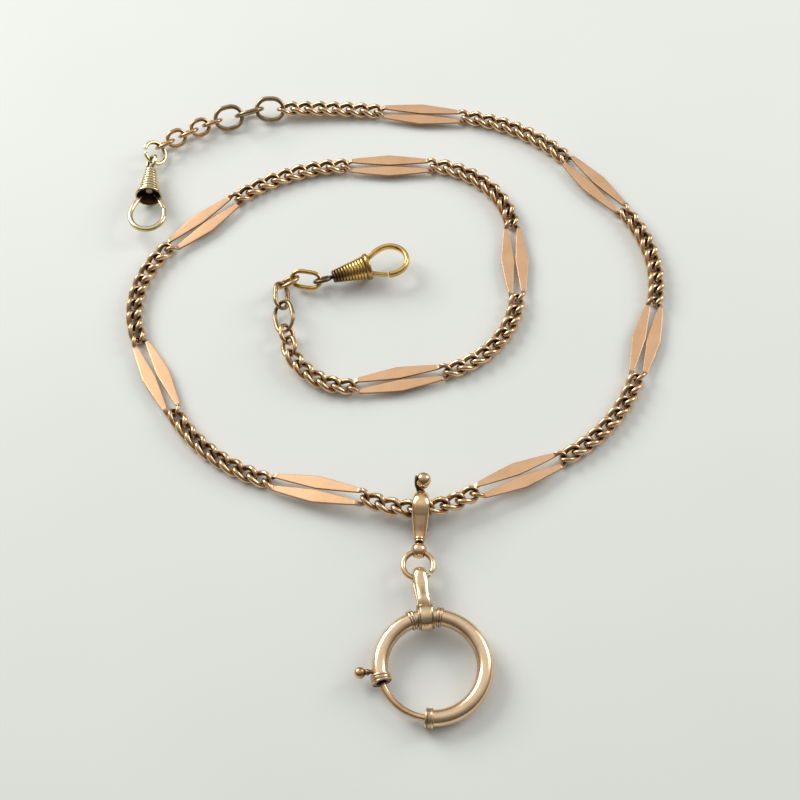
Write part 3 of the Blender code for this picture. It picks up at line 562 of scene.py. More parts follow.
def curb_run(name, centres):
    """One run: curb links at the given (centre, heading, rise), each with whether its first or last tip is a hinge."""
    piece = Piece()
    half = curb_sizes(len(centres))[1]
    for centre, heading, rise, first, last in centres:
        grid, grime = curb_link(half, first, last)
        piece.add(grid, Place(centre, along(heading, rise)), True, grime)
    return piece.make(name, name, rose)


def plain_runs(names):
    line = steps(names)
    for before, (name, start, end), after in zip(line, line[1:], line[2:]):
        if not name.startswith("curb_run"):
            continue
        count = RUN_COUNTS.get(name, 8)
        first = heading_of(before[2] - before[1])
        last = heading_of(after[2] - after[1])
        last = first + (last - first + 180) % 360 - 180
        pitch, half = curb_sizes(count)
        reach = half - JOINT_DEPTH / 2
        rise = math.degrees(math.asin((end[2] - start[2]) / ((count - 1) * pitch + 2 * reach)))
        centres = []
        point = start
        gap = reach
        for k in range(count):
            turn = first + (last - first) * (k + 1) / (count + 1)
            centres.append((point + along(turn, rise) * gap, turn, rise, k == 0, k == count - 1))
            point = centres[-1][0] + along(turn, rise) * pitch / 2
            gap = pitch / 2
        left = end - centres[-1][0] - along(turn, rise) * reach
        chord = end - start
        settled = []
        for k, (centre, *rest) in enumerate(centres):
            share = (k + 0.5) / count
            centre = centre + left * share
            centre = centre + DRAWN_IN * (start + chord * ((centre - start) @ chord) / (chord @ chord) - centre)
            settled.append((centre, *rest))
        curb_run(name, settled)


def middle_run():
    """The run that carries the drop: a link under the claw, and three more to each side, each turned a little."""
    centre = joint_at("drop_clip_body")
    pitch = curb_sizes(MIDDLE_COUNT)[0]
    centres = [(centre, CROSSING_HEADING, 0.0, False, False)]
    for side in (1, -1):
        heading = CROSSING_HEADING + (0 if side > 0 else 180)
        point = centre + along(heading) * pitch / 2
        for k in range(MIDDLE_COUNT // 2):
            turn = heading + side * HALF_RUN_TURN * (k + 1)
            centres.append((point + along(turn) * pitch / 2, turn, 0.0, False, k == MIDDLE_COUNT // 2 - 1))
            point = point + along(turn) * pitch
    curb_run("curb_run_05", centres)


LONG_STATIONS = 260
LONG_AROUND = 32


def long_link(name, start, end):
    """Two lozenge plates drawn down to wire, which turns round each end and is rolled an eighth of a turn there.
    The section is a superellipse that goes from round, power 2, to a flat plate with crisp edges, power 9."""
    half = (LONG_LINK - WIRE) / 2
    shoulder = half - NECK_LENGTH
    flat = oval(half, HALF_WIDTH, LONG_STATIONS)
    away = np.abs(flat[:, 0])
    middle = np.clip(1 - away / shoulder, 0, 1) ** 0.82
    plate = smooth((half - HALF_WIDTH * 0.7 - away) / (NECK_LENGTH * 0.8))
    flat[:, 1] += np.sign(flat[:, 1]) * middle * ((PLATE_WIDTH + PLATE_GAP) / 2 - HALF_WIDTH)
    ease = np.sin(math.pi / 2 * np.clip((away - shoulder) / (half - shoulder), 0, 1))
    path, ups = lifted(flat, TWIST * np.sign(flat[:, 0]) * ease)
    wide = (WIRE / 2 + (PLATE_WIDTH - WIRE) / 2 * middle) * DRAWN
    thick = (WIRE / 2 + (PLATE_THICKNESS - WIRE) / 2 * plate) * DRAWN
    power = 2 + 7 * plate
    a = circle_angles(LONG_AROUND) + math.pi / LONG_AROUND
    grid = carry(path, ups, rounded(a, wide, thick, power), True)
    # The plate edges are darkened; painted shade on the underside, and tarnish and painted shade inside the end loops
    # where the next link passes.
    edge = smooth((np.abs(np.cos(a)) - 0.72) / 0.2)[None]
    under = smooth(-np.sin(a) * 2)[None]
    inside = np.clip(-np.cos(a), 0, 1)[None]
    tip = (1 - plate)[:, None]
    grime = plate[:, None] * (0.42 * edge + 0.1 * under) + tip * (0.15 + 0.6 * inside)
    polish = 1 - plate[:, None] * (1 - edge)
    centre = half - JOINT_DEPTH / 2
    Piece().add(grid + (centre, 0, 0), Place(start, end - start), True, grime, polish).make(
        name, name, plate_gold, slot="satin"
    )


SEAM = 0.16
CABLE_STATIONS = 72
CUT_AT = -60.0


def seam_at(flat, side):
    """One at the soldered seam, half way along one side, and nothing away from it."""
    return bump(np.hypot(flat[:, 0], flat[:, 1] - side), 0, SEAM)


def cable_link(name, start, end, sizes, roll, finish, slot, opening=0.0):
    """A flat oval of round wire, with a faint soldered seam half way along one side, or cut through when open."""
    length, width, wire = sizes
    depth = (wire + max(WIRE, OVAL_WIRE)) / 2 + PLAY
    half = (length - wire) / 2
    side = (width - wire) / 2
    a = circle_angles(18)
    radius = wire / 2 * DRAWN
    if opening:
        turn = np.radians(np.linspace(opening / 2, 360 - opening / 2, CABLE_STATIONS) + CUT_AT)
        flat = np.stack([np.cos(turn) * half, np.sin(turn) * side], 1)
        size = np.full(len(flat), radius)
        size[[0, -1]] *= 0.72
        size[[1, -2]] *= 0.94
    else:
        flat = oval(half, side, CABLE_STATIONS) * 0.7 + ellipse(half, side, CABLE_STATIONS) * 0.3
        worn = smooth((np.abs(flat[:, 0]) / half - 0.5) / 0.45)
        size = radius * (1.03 - 0.15 * worn - 0.07 * seam_at(flat, side))
    path, ups = lifted(flat, 0.0)
    grid = carry(path, ups, rounded(a, size, size), not opening)
    # Tarnish and painted shade on the inner side of the wire, most towards the tips where the next links pass; the
    # soldered seam is darker too.
    inside = np.clip(-np.cos(a), 0, 1)[None]
    tips = smooth((np.abs(flat[:, 0]) / half - 0.45) / 0.5)[:, None]
    grime = inside * (0.25 + 0.6 * tips) + seam_at(flat, side)[:, None] * 0.3
    Piece().add(grid + (half - depth / 2, 0, 0), Place(start, end - start, roll), not opening, grime).make(
        name, name, finish, slot=slot
    )


OVAL = (6.5, 5.3, OVAL_WIRE)
SMALL = (4.7, 3.9, WIRE)
LARGE = (7.2, 5.4, 0.8)
NARROW = (6.5, 3.9, WIRE)
ROUND = (5.0, 5.0, WIRE)
JUMP = (5.4, 5.4, 0.8)
JUMP_OPENING = 16.0
CABLES = {
    "outer_oval_1": (OVAL, -40, dull, "dull"),
    "outer_oval_2": (OVAL, 50, dull, "dull"),
    "outer_oval_3": (OVAL, -40, dull, "dull"),
    "jump_ring": (JUMP, -40, pale, "pale"),
    "inner_small_1": (SMALL, -45, brown_gold, "rose"),
    "inner_small_2": (SMALL, 45, brown_gold, "rose"),
    "inner_large": (LARGE, -45, dull, "dull"),
    "inner_oval_1": (NARROW, 45, dull, "dull"),
    "inner_round": (ROUND, -45, brown_gold, "rose"),
    "inner_oval_2": (NARROW, 45, yellow, "yellow"),
}
for number in range(5):
    CABLES[f"outer_small_{number + 1}"] = (SMALL, -45 if number % 2 else 45, brown_gold, "rose")

middle_run()
for names in (outer, inner):
    plain_runs(names)
    for name, start, end in steps(names):
        if name.startswith("fancy_link"):
            long_link(name, start, end)
        elif name in CABLES:
            sizes, roll, finish, slot = CABLES[name]
            cable_link(name, start, end, sizes, roll, finish, slot, JUMP_OPENING if name == "jump_ring" else 0.0)


# ---------------------------------------------------------------- dog clips

BARREL_LENGTH = 7.4
BARREL_NECK = 1.0
BARREL_MOUTH = 2.15
COLLAR_RADIUS = 2.75
COLLAR_LENGTH = 1.1
STEM_RADIUS = 0.35
STEM_PLAY = 0.15
EYE = 3.8
EYE_WIRE = 0.8
BOW_WIDTH = 7.7
BOW_WIRE = 1.0
BOW_ROOT = BARREL_LENGTH - 0.9
GATE_ROOT = BARREL_LENGTH - 0.7
BELLY_AT = 0.52  # shares of a bow's length
NOTCH_AT = 0.36
BEAD_RISE = 0.17
CUP = BARREL_LENGTH - 2.2
RIBBED = BARREL_LENGTH - COLLAR_LENGTH


def clip_eye(letter, roll, finish, slot):
    """The ring that the last link holds, with its stem and the rivet head inside the barrel."""
    name = f"clip_{letter}_eye"
    start = joint_at(name)
    seat = joint_at(f"clip_{letter}_barrel")
    place = Place(start, seat - start, roll)
    half = (EYE - EYE_WIRE) / 2
    depth = (EYE_WIRE + OVAL_WIRE) / 2 + PLAY
    centre = half - depth / 2
    neck = centre + EYE / 2 + STEM_PLAY
    a = circle_angles(18)
    flat = oval(half, half, 64)
    path, ups = lifted(flat, 0.0)
    radius = EYE_WIRE / 2 * DRAWN
    # Tarnish and painted shade on the inner side of the eye, more towards the barrel; the stem inside the barrel is
    # painted half dark as shade.
    grime = np.clip(-np.cos(a), 0, 1)[None] * 0.7 + smooth(flat[:, 0] / half)[:, None] * 0.3
    ring = carry(path, ups, rounded(a, radius, radius), True) + (centre, 0, 0)
    head = neck + CUP + STEM_PLAY
    root = centre + half
    rod = [(root, ON_AXIS), (root, STEM_RADIUS * 1.25), (root + 0.45, STEM_RADIUS), (head, STEM_RADIUS)]
    rivet = [(head, STEM_RADIUS * 2.2), (head + 0.35, STEM_RADIUS * 2.2), (head + 0.5, STEM_RADIUS * 1.8)]
    stem = turned(rod + rivet + [(head + 0.5, ON_AXIS)], 20)
    Piece().add(ring, place, True, grime).add(stem, place, False, 0.5).make(name, name, finish, slot=slot)


def clip_barrel(letter, ribs, finish, slot, stained, slim):
    """A cone of round beads with a flared collar, hollow at its mouth. Between beads the radius drops by a cusp, the
    root of a sine. Stained says how much more the narrow end is tarnished."""
    name = f"clip_{letter}_barrel"
    axis = np.array(joints[name]["axis"])
    gate = joint_at(f"clip_{letter}_gate") - joint_at(name)
    side = unit(axis * (gate @ axis) - gate)
    place = Place(joint_at(name), axis, 0.0, np.cross(axis, side))
    x = np.linspace(0, RIBBED, ribs * 10 + 1)
    wave = np.sqrt(np.abs(np.sin(math.pi * ribs * x / RIBBED)))
    cone = (BARREL_NECK + (BARREL_MOUTH - BARREL_NECK) * x / RIBBED) * slim
    # Tarnish and painted shade in the grooves between the beads, and more tarnish towards the narrow end.
    stain = stained * (1 - smooth(x / RIBBED * 1.25))
    beads = np.column_stack([x, cone + BEAD_RISE * wave, (1 - wave) * 0.75 + stain])
    beads[0, 1] = BARREL_NECK * slim
    # The flare's third column darkens the collar a little, and paints shade on the lip's inner side and deep inside the
    # mouth.
    flare = [
        (RIBBED + 0.05, COLLAR_RADIUS * 0.8, 0.6),
        (RIBBED + 0.2, COLLAR_RADIUS * 0.88, 0.4),
        (RIBBED + COLLAR_LENGTH * 0.4, COLLAR_RADIUS * 0.94, 0.35),
        (RIBBED + COLLAR_LENGTH * 0.6, COLLAR_RADIUS * 0.96, 0.35),
        (BARREL_LENGTH - 0.22, COLLAR_RADIUS * 0.955, 0.3),
        (BARREL_LENGTH - 0.06, COLLAR_RADIUS * 0.92, 0.25),
        (BARREL_LENGTH, COLLAR_RADIUS * 0.87, 0.45),
        (BARREL_LENGTH - 0.1, COLLAR_RADIUS * 0.82, 0.9),
        (BARREL_LENGTH - 0.6, BARREL_MOUTH * 0.86, 1),
        (CUP + 0.2, BARREL_MOUTH * 0.73, 1),
        (CUP, BARREL_MOUTH * 0.66, 1),
        (CUP, STEM_RADIUS + STEM_PLAY, 1),
        (0.0, STEM_RADIUS + STEM_PLAY, 1),
    ]
    surface, grooves = turned_row(np.vstack([beads, flare]), 48)
    Piece().add(surface, place, True, grooves).make(name, name, finish, slot=slot, crease=50)
    return place


def bow_half_width(x, length):
    """Half the bow's width: it swells from the barrel as a power of a sine, and closes as an ellipse."""
    half = (BOW_WIDTH - BOW_WIRE) / 2
    root = BARREL_MOUTH * 0.6
    belly = BARREL_LENGTH + length * BELLY_AT
    tip = BARREL_LENGTH + length - BOW_WIRE / 2
    part = np.clip((x - BOW_ROOT) / (belly - BOW_ROOT), 0, 1)
    swell = root + (half - root) * np.sin(part * math.pi / 2) ** 1.2
    close = half * np.sqrt(np.clip(1 - ((x - belly) / (tip - belly)) ** 2, 0, 1))
    return np.where(x < belly, swell, close)


def clip_bow(letter, place, length, finish, slot, tall):
    """The stirrup: one wire from inside the barrel, round the end and back to the notch where the gate closes."""
    belly = BARREL_LENGTH + length * BELLY_AT
    tip = BARREL_LENGTH + length - BOW_WIRE / 2
    notch = BARREL_LENGTH + length * NOTCH_AT
    leg = np.linspace(BOW_ROOT, belly, 26, endpoint=False)
    bend = belly + (tip - belly) * np.sin(np.radians(np.linspace(0, 90, 19)))
    back = np.linspace(notch + 0.06, belly, 8, endpoint=False)[::-1]
    x = np.concatenate([leg, bend, bend[-2::-1], back])
    y = bow_half_width(x, length)
    y[len(leg) + len(bend) :] *= -1
    path = np.column_stack([x, y, 0 * x])
    slim = 0.78 + 0.22 * smooth((np.arange(len(x)) - 2) / 14)
    slim[-1] *= 0.8
    a = circle_angles(18)
    radius = BOW_WIRE / 2 * slim
    grid = carry(path, (0, 0, 1), rounded(a, radius, radius * tall, 2.3), False)
    # Painted shade at the legs' roots by the barrel's mouth, and a little on the wire's inner side.
    mouth = 1 - smooth((x - BOW_ROOT) / 2.2)
    grime = np.clip(-np.cos(a), 0, 1)[None] * 0.25 + mouth[:, None] * 0.9
    Piece().add(grid, place, False, grime).make(f"clip_{letter}_bow", f"clip_{letter}_barrel", finish, slot=slot)


def clip_gate(letter, place, length, finish, slot, tall):
    """The sprung gate: two wires side by side from the barrel to the notch, narrowed at its end."""
    notch = BARREL_LENGTH + length * NOTCH_AT
    x = np.linspace(GATE_ROOT, notch - 0.07, 24)
    y = -bow_half_width(x, length)
    y[0] = -BARREL_MOUTH * 0.6 * 0.9
    path = np.column_stack([x, y, 0 * x])
    share = (x - x[0]) / (x[-1] - x[0])
    radius = BOW_WIRE / 2 * DRAWN * (0.8 + 0.1 * share)
    a = circle_angles(28)
    waist = 1 - 0.32 * np.abs(np.sin(a)) ** 6
    section = rounded(a, radius, radius * 0.92 * tall) * waist[None, :, None]
    section[-1] *= 0.6
    section[-2] *= 0.88
    grid = carry(path, (0, 0, 1), section, False)
    # Tarnish and painted shade in the groove along the gate's top and bottom, and painted shade near its root at the
    # barrel's mouth.
    grime = (np.abs(np.sin(a)) ** 8)[None] * 0.6 + (1 - smooth(share * 4))[:, None] * 0.8
    name = f"clip_{letter}_gate"
    Piece().add(grid, place, False, grime).make(name, name, finish, slot=slot)


def dog_clip(letter, roll, ribs, length, finish, slot, eye_finish, eye_slot, stained, slim, tall):
    clip_eye(letter, roll, eye_finish, eye_slot)
    place = clip_barrel(letter, ribs, finish, slot, stained, slim)
    clip_bow(letter, place, length, finish, slot, tall)
    clip_gate(letter, place, length, finish, slot, tall)


dog_clip("A", 50, 8, 9.0, pale, "pale", pale, "pale", 0.0, 0.93, 1.0)
dog_clip("B", -45, 11, 7.9, yellow, "yellow", dark, "dark", 0.75, 1.0, 1.35)


# ---------------------------------------------------------------- claw clip, bead and small ring

CLAW_OPENING = 1.9
CLAW_THICKNESS = 1.4
CLAW_WIDTH = 3.1
LEVER_THICKNESS = 0.8
CHEEK_OUT = 0.97
BALL_RADIUS = 1.35
BEAD_RADIUS = 1.4
NECK_TO_BEAD = 8.2
DROP_RING = 6.1
DROP_WIRE = 0.95
CUT_START, CUT_END = 49.0, 63.0  # the small ring is open between these angles from its shackle side
RING_RISE = 0.017
CLAW_POWER = 1.72  # under 2, so that the back has a soft ridge
LEVER_POWER = 3.6
ARM = CLAW_OPENING + CLAW_THICKNESS / 2
ACROSS = np.array(joints["drop_clip_body"]["axis"])


def claw():
    """The claw: a swelling body, softly ridged down its back, that rises from its neck and bends over the chain in an
    arc. Its stations hold where it is along and up, then half its width and its thickness."""
    place = Place(joint_at("drop_clip_body"), ACROSS)
    bead = -NECK_TO_BEAD
    shoulder = bead + BEAD_RADIUS + STEM_PLAY
    stations = [(shoulder + 0.35, 0.0, 0.9, 0.74), (shoulder + 0.8, 0.02, 1.02, 0.8), (-4.6, 0.2, 1.3, 0.95)]
    stations += [(-3.4, 0.75, 1.46, 1.0), (-2.35, 1.4, 1.54, 0.9)]
    for angle, wide in ((128, 1.0), (104, 1.0), (80, 0.95), (56, 0.86), (34, 0.7)):
        turn = math.radians(angle)
        stations.append((ARM * math.cos(turn), ARM * math.sin(turn), CLAW_WIDTH / 2 * wide, CLAW_THICKNESS / 2))
    line = through(stations, 9)
    path = np.column_stack([0 * line[:, 0], line[:, 0], line[:, 1]])
    ups = np.cross((1.0, 0.0, 0.0), unit(np.gradient(path, axis=0)))
    a = circle_angles(36)
    size = line[:, 2:] * DRAWN
    last = np.ones(len(line))
    last[-3:] = (0.97, 0.88, 0.6)
    grid = carry(path, ups, rounded(a, size[:, 0] * last, size[:, 1] * last, CLAW_POWER), False)
    # Painted shade on the underside of the claw, and darker towards its neck.
    under = np.clip(-np.sin(a), 0, 1)[None]
    grime = under * 0.6 + (1 - smooth((line[:, 0] + 6.6) / 1.2))[:, None] * 0.35
    # The third column darkens the stem and paints tarnish and shade in the neck's groove.
    stem = [(bead + 0.7, ON_AXIS, 0.8), (bead + 0.7, 0.4, 0.8), (shoulder, 0.4, 0.9)]
    rise = [(0, 0.74, 0.4), (0.1, 0.86, 0), (0.24, 0.86, 0), (0.32, 0.78, 0.7), (0.38, 0.78, 0.9), (0.45, 0.9, 0.2)]
    rise += [(0.6, 0.94, 0), (0.78, 0.9, 0.2), (0.9, ON_AXIS, 0.5)]
    rings, seam = turned_row(stem + [(shoulder + at, radius, dirt_and_shade) for at, radius, dirt_and_shade in rise], 36)
    neck_place = place.turned([(1, 1), (0, -1), (2, 1)])
    piece = Piece().add(grid, place, False, grime).add(rings, neck_place, False, seam)
    pin = pin_place()
    cheek = [(-0.25, 0.37), (-0.25, 0.6), (-0.18, 0.68), (0.18, 0.68), (0.25, 0.6), (0.25, 0.37)]
    tab = np.pad(rounded(circle_angles(20), 0.25, 0.62, 4.0), ((0, 0), (0, 0), (0, 1)))
    tab = tab + np.linspace(0.5, 1.7, 5)[:, None, None] * np.array([0, 0.12, 1.0])
    for side in (-CHEEK_OUT, CHEEK_OUT):
        piece.add(turned(cheek, 24), pin.moved(side), True, 0.5)
        piece.add(tab, pin.moved(side), False, 0.5)
    piece.make("drop_clip_body", "drop_clip_body", rose)


def pin_place():
    return Place(joint_at("drop_clip_lever"), ACROSS)


def claw_pin():
    profile = [(-1.4, ON_AXIS), (-1.4, 0.22), (-1.33, 0.29), (1.33, 0.29), (1.4, 0.22), (1.4, ON_AXIS)]
    Piece().add(turned(profile, 20), pin_place(), False, 0.4).make(
        "drop_clip_pin", "drop_clip_body", dark, slot="dark"
    )


def lever():
    """The hinged lever: an arc under the chain that closes the claw, and a thin strip that stands up beside the ball.
    Each station holds where the lever is across, along and up, and half its width and thickness."""
    place = Place(joint_at("drop_clip_body"), ACROSS)
    low = CLAW_OPENING + LEVER_THICKNESS / 2
    end = CLAW_OPENING + CLAW_THICKNESS + PLAY
    back, drop = -ARM - 0.9, -1.1
    stations = [(0, back - 0.34, drop, 0.42, 0.36), (0, back, drop, 0.52, 0.5)]
    stations += [(0, back + 0.75, drop - 0.12, 0.55, 0.42)]
    for angle in (222, 246, 270, 294, 318):
        turn = math.radians(angle)
        stations.append((0, low * math.cos(turn), low * math.sin(turn), 1.05, LEVER_THICKNESS / 2))
    stations += [(0, end - 0.3, -0.75, 0.9, 0.38), (-0.45, end + 0.4, 0.1, 0.55, 0.4)]
    stations += [(-0.95, end + 0.62, 1.1, 0.24, 0.52), (-1.08, end + 0.68, 2.3, 0.18, 0.62)]
    stations += [(-1.0, end + 0.66, 3.4, 0.16, 0.5), (-0.9, end + 0.62, 3.75, 0.12, 0.3)]
    line = through(stations, 7)
    path = line[:, :3]
    a = circle_angles(24)
    size = line[:, 3:] * 0.96
    step = unit(np.gradient(path, axis=0))
    ups = np.cross(step, (1.0, 0.0, 0.0))
    grid = carry(path, ups, rounded(a, size[:, 0], size[:, 1], LEVER_POWER), False)
    Piece().add(grid, place, False, 0.35).make("drop_clip_lever", "drop_clip_lever", dark, slot="dark")
    return place, end


def thumb_ball(place, end):
    """The ball of the lever, on a short flared foot: a circle turned round the upright, open to the foot below."""
    turn = np.radians(np.linspace(0, 152, 26))
    # Painted shade on the lower part of the ball towards its foot, and on the foot, most in its narrow parts.
    near_foot = smooth((np.degrees(turn) - 115) / 40) * 0.8
    ball = np.column_stack([BALL_RADIUS * np.cos(turn), BALL_RADIUS * np.sin(turn) * 0.995, near_foot])
    ball[0, 1] = ON_AXIS
    foot = [(-1.3, 0.42, 0.9), (-1.42, 0.5, 0.8), (-1.56, 0.8, 0.3), (-1.66, 0.86, 0.2), (-1.74, 0.8, 0.3)]
    foot += [(-1.9, 0.5, 0.6), (-2.15, 0.3, 0.8), (-2.2, ON_AXIS, 0.8)]
    surface, grime = turned_row(np.vstack([ball, foot]), 40)
    up = place.moved(0.3, end + 0.75, 1.2 + BALL_RADIUS + 0.06).turned([(2, 1), (0, 1), (1, 1)])
    Piece().add(surface, up, False, grime).make("drop_clip_ball", "drop_clip_lever", rose)


def swivel_bead():
    """A bead turned from the round, with a bore for the small ring through its lower half."""
    place = Place(joint_at("swivel_bead"), np.array(joints["swivel_bead"]["axis"]))
    turn = np.radians(np.linspace(8, 158, 34))
    radius = BEAD_RADIUS * 0.995
    # Painted shade towards the end of the bead that holds the bore, and inside the bore.
    near_hole = smooth((np.degrees(turn) - 120) / 40) * 0.5
    ball = np.column_stack([-radius * np.cos(turn), radius * np.sin(turn), near_hole])
    hole = [(BEAD_RADIUS * 0.9, 0.4 + STEM_PLAY, 0.9), (0.62, 0.4 + STEM_PLAY, 0.9), (0.62, ON_AXIS, 0.9)]
    surface, grime = turned_row(np.vstack([(-radius, ON_AXIS, 0.1), ball, hole]), 44)
    made = Piece().add(surface, place, False, grime).make("swivel_bead", "swivel_bead", rose, crease=50)
    ring_half = (DROP_RING - DROP_WIRE) / 2
    sag = ring_half - math.sqrt(ring_half**2 - (BEAD_RADIUS * 0.96) ** 2)
    bore = (DROP_WIRE + sag) / 2 + 0.12
    drill = turned([(-2.0, ON_AXIS), (-2.0, bore), (2.0, bore), (2.0, ON_AXIS)], 32)
    cut(made, drill, place.moved(-0.42).turned([(1, -1), (0, 1), (2, 1)]))
    return sag


def small_ring(sag):
    """The round ring between the bead and the shackle, cut through once where it was closed."""
    start = joint_at("drop_ring")
    towards = np.cross(joints["drop_ring"]["axis"], UP) + RING_RISE * UP
    half = (DROP_RING - DROP_WIRE) / 2
    a = circle_angles(20)
    turn = np.radians(np.linspace(CUT_END, CUT_START + 360, 96))
    flat = np.stack([np.cos(turn), np.sin(turn)], 1) * half
    path, ups = lifted(flat, 0.0)
    size = np.full(len(flat), DROP_WIRE / 2 * DRAWN)
    size[[0, -1]] *= 0.9
    grid = carry(path, ups, rounded(a, size, size), False) + (half - sag / 2, 0, 0)
    # Tarnish and painted shade on the ring's inner side, most where the bead and the shackle pass through it.
    grime = np.clip(-np.cos(a), 0, 1)[None] * (0.3 + 0.4 * np.abs(np.cos(turn)))[:, None]
    Piece().add(grid, Place(start, towards), False, grime).make("drop_ring", "drop_ring", rose)


claw()
claw_pin()
thumb_ball(*lever())
small_ring(swivel_bead())


# ---------------------------------------------------------------- shackle and bolt ring

SHACKLE_REACH = 7.2
SHACKLE_WIDTH = 2.6
SHACKLE_BAND = 0.65
SLEEVE_WALL = 0.7
SLEEVE_PLAY = 0.25
BOLT_RING = 20.2
TUBE = 2.8
TUBE_WALL = 0.5
BOLT_PLAY = 0.3
BAND_HEIGHT = 0.35
BAND_DRAWN = 0.28
FIXED_GAP = 0.06
TUBE_START = -98.0
TUBE_END = 198.0
SHACKLE_ANGLE = 97.0
BOLT_START = 150.0
BOLT_TIP = 266.0
DOME = 3.0
KNOB_ANGLE = 185.0
KNOB_TRAVEL = 60.0
KNOB_RADIUS = 0.97
KNOB_REACH = 12.0
SPARE = 4.0  # degrees that the bore and the slot run past the bolt and the knob
TUBE_SEAM = math.pi - 0.35
COLLAR_SPAN = 9.0
COLLAR_OVERHANG = 0.5
FLANGE_SPAN = 6.0
RING_RADIUS = (BOLT_RING - TUBE) / 2


def shackle():
    """A crowned band bent round the small ring, and the sleeve that it is soldered to, which holds the tube."""
    start = joint_at("shackle")
    place = Place(start, joint_at("bolt_ring_tube") - start)
    ring_half = (DROP_RING - DROP_WIRE) / 2
    sag = ring_half - math.sqrt(ring_half**2 - (SHACKLE_WIDTH / 2) ** 2)
    inner = DROP_WIRE / 2 + sag + PLAY
    mid = inner + SHACKLE_BAND / 2
    sleeve_in = TUBE / 2 + SLEEVE_PLAY
    sleeve_out = sleeve_in + SLEEVE_WALL
    foot = SHACKLE_REACH - sleeve_in - SLEEVE_WALL * 0.55
    turn = np.radians(np.linspace(90, 270, 31))
    bend = np.column_stack([mid * np.cos(turn), mid * np.sin(turn)])
    straight = np.linspace(0, foot, 14)[1:]
    low = np.column_stack([straight, np.full(len(straight), -mid)])
    line = np.vstack([bend, low, low[::-1] * (1, -1)])
    path = np.column_stack([line[:, 0], 0 * line[:, 0], line[:, 1]])
    a = circle_angles(28)
    swell = 1 - 0.14 * smooth((line[:, 0] - 0.8) / 2.6)
    section = rounded(a, SHACKLE_BAND / 2, SHACKLE_WIDTH / 2 * DRAWN * swell, 2.0)
    crown = 0.18 + 0.2 * (1 - smooth((line[:, 0] + 0.2) / 2.8))
    outward = np.clip(-np.cos(a), 0, 1)[None] * crown[:, None]
    section[..., 0] -= outward * np.sqrt(1 - (section[..., 1] / (SHACKLE_WIDTH / 2)) ** 2)
    grid = carry(path, (0, 1, 0), section, True)
    # Darkening of the band: painted shade on its inner side, where the ring wire passes, and near its foot at the
    # sleeve; hollow is a dark spot on its outer face part way along, with no hollow in the shape.
    hollow = bump(line[:, 0], foot * 0.66, 0.9)[:, None] * np.clip(-np.cos(a), 0, 1)[None] ** 8
    inward = np.clip(np.cos(a), 0, 1)[None]
    grime = inward * 0.6 + smooth((line[:, 0] - foot + 0.8) / 0.8)[:, None] * 0.4 + hollow * 0.55
    half = SHACKLE_WIDTH / 2
    across = np.linspace(-1, 1, 41)
    out = np.abs(across)
    # Painted shade, not wear: the sleeve's worn values darken its edges by the flanges, the step beside its middle
    # bead, and its inside.
    step = smooth((out - 0.66) / 0.14) * (1 - 0.5 * smooth((out - 0.82) / 0.1))
    worn = 0.4 * out**8 + 0.7 * bump(out, 0.76, 0.06)
    outside = np.column_stack([across * half, sleeve_out * 0.99 - 0.14 * out**2 - 0.2 * step, worn])
    sleeve, worn = turned_row(np.vstack([outside, (half, sleeve_in, 0.9), (-half, sleeve_in, 0.9)]), 56)
    sleeve_place = place.moved(SHACKLE_REACH).turned([(1, 1), (0, -1), (2, 1)])
    Piece().add(grid, place, True, grime).add(sleeve, sleeve_place, True, worn).make(
        "shackle", "shackle", shackle_gold, slot="pale", crease=50
    )


def ring_place():
    """The bolt ring's own frame: X and Y in its plane and Z up, with the shackle at its own angle."""
    hub = joint_at("bolt")
    axis = np.array(joints["bolt"]["axis"])
    top = joint_at("bolt_ring_tube") - hub
    turn = math.radians(-SHACKLE_ANGLE)
    x = top * math.cos(turn) + np.cross(axis, top) * math.sin(turn)
    return Place(hub, x, 0.0, axis)


def round_ring(angles, radii, theta):
    """Circles round the ring's line: at each angle, a circle of that station's radius in the plane through the hub."""
    t = np.radians(angles)[:, None]
    radii = np.asarray(radii, float)
    radii = radii[:, None] if radii.ndim == 1 else radii
    far = RING_RADIUS + radii * np.cos(theta)
    return np.stack([far * np.cos(t), far * np.sin(t), radii * np.sin(theta)], -1)


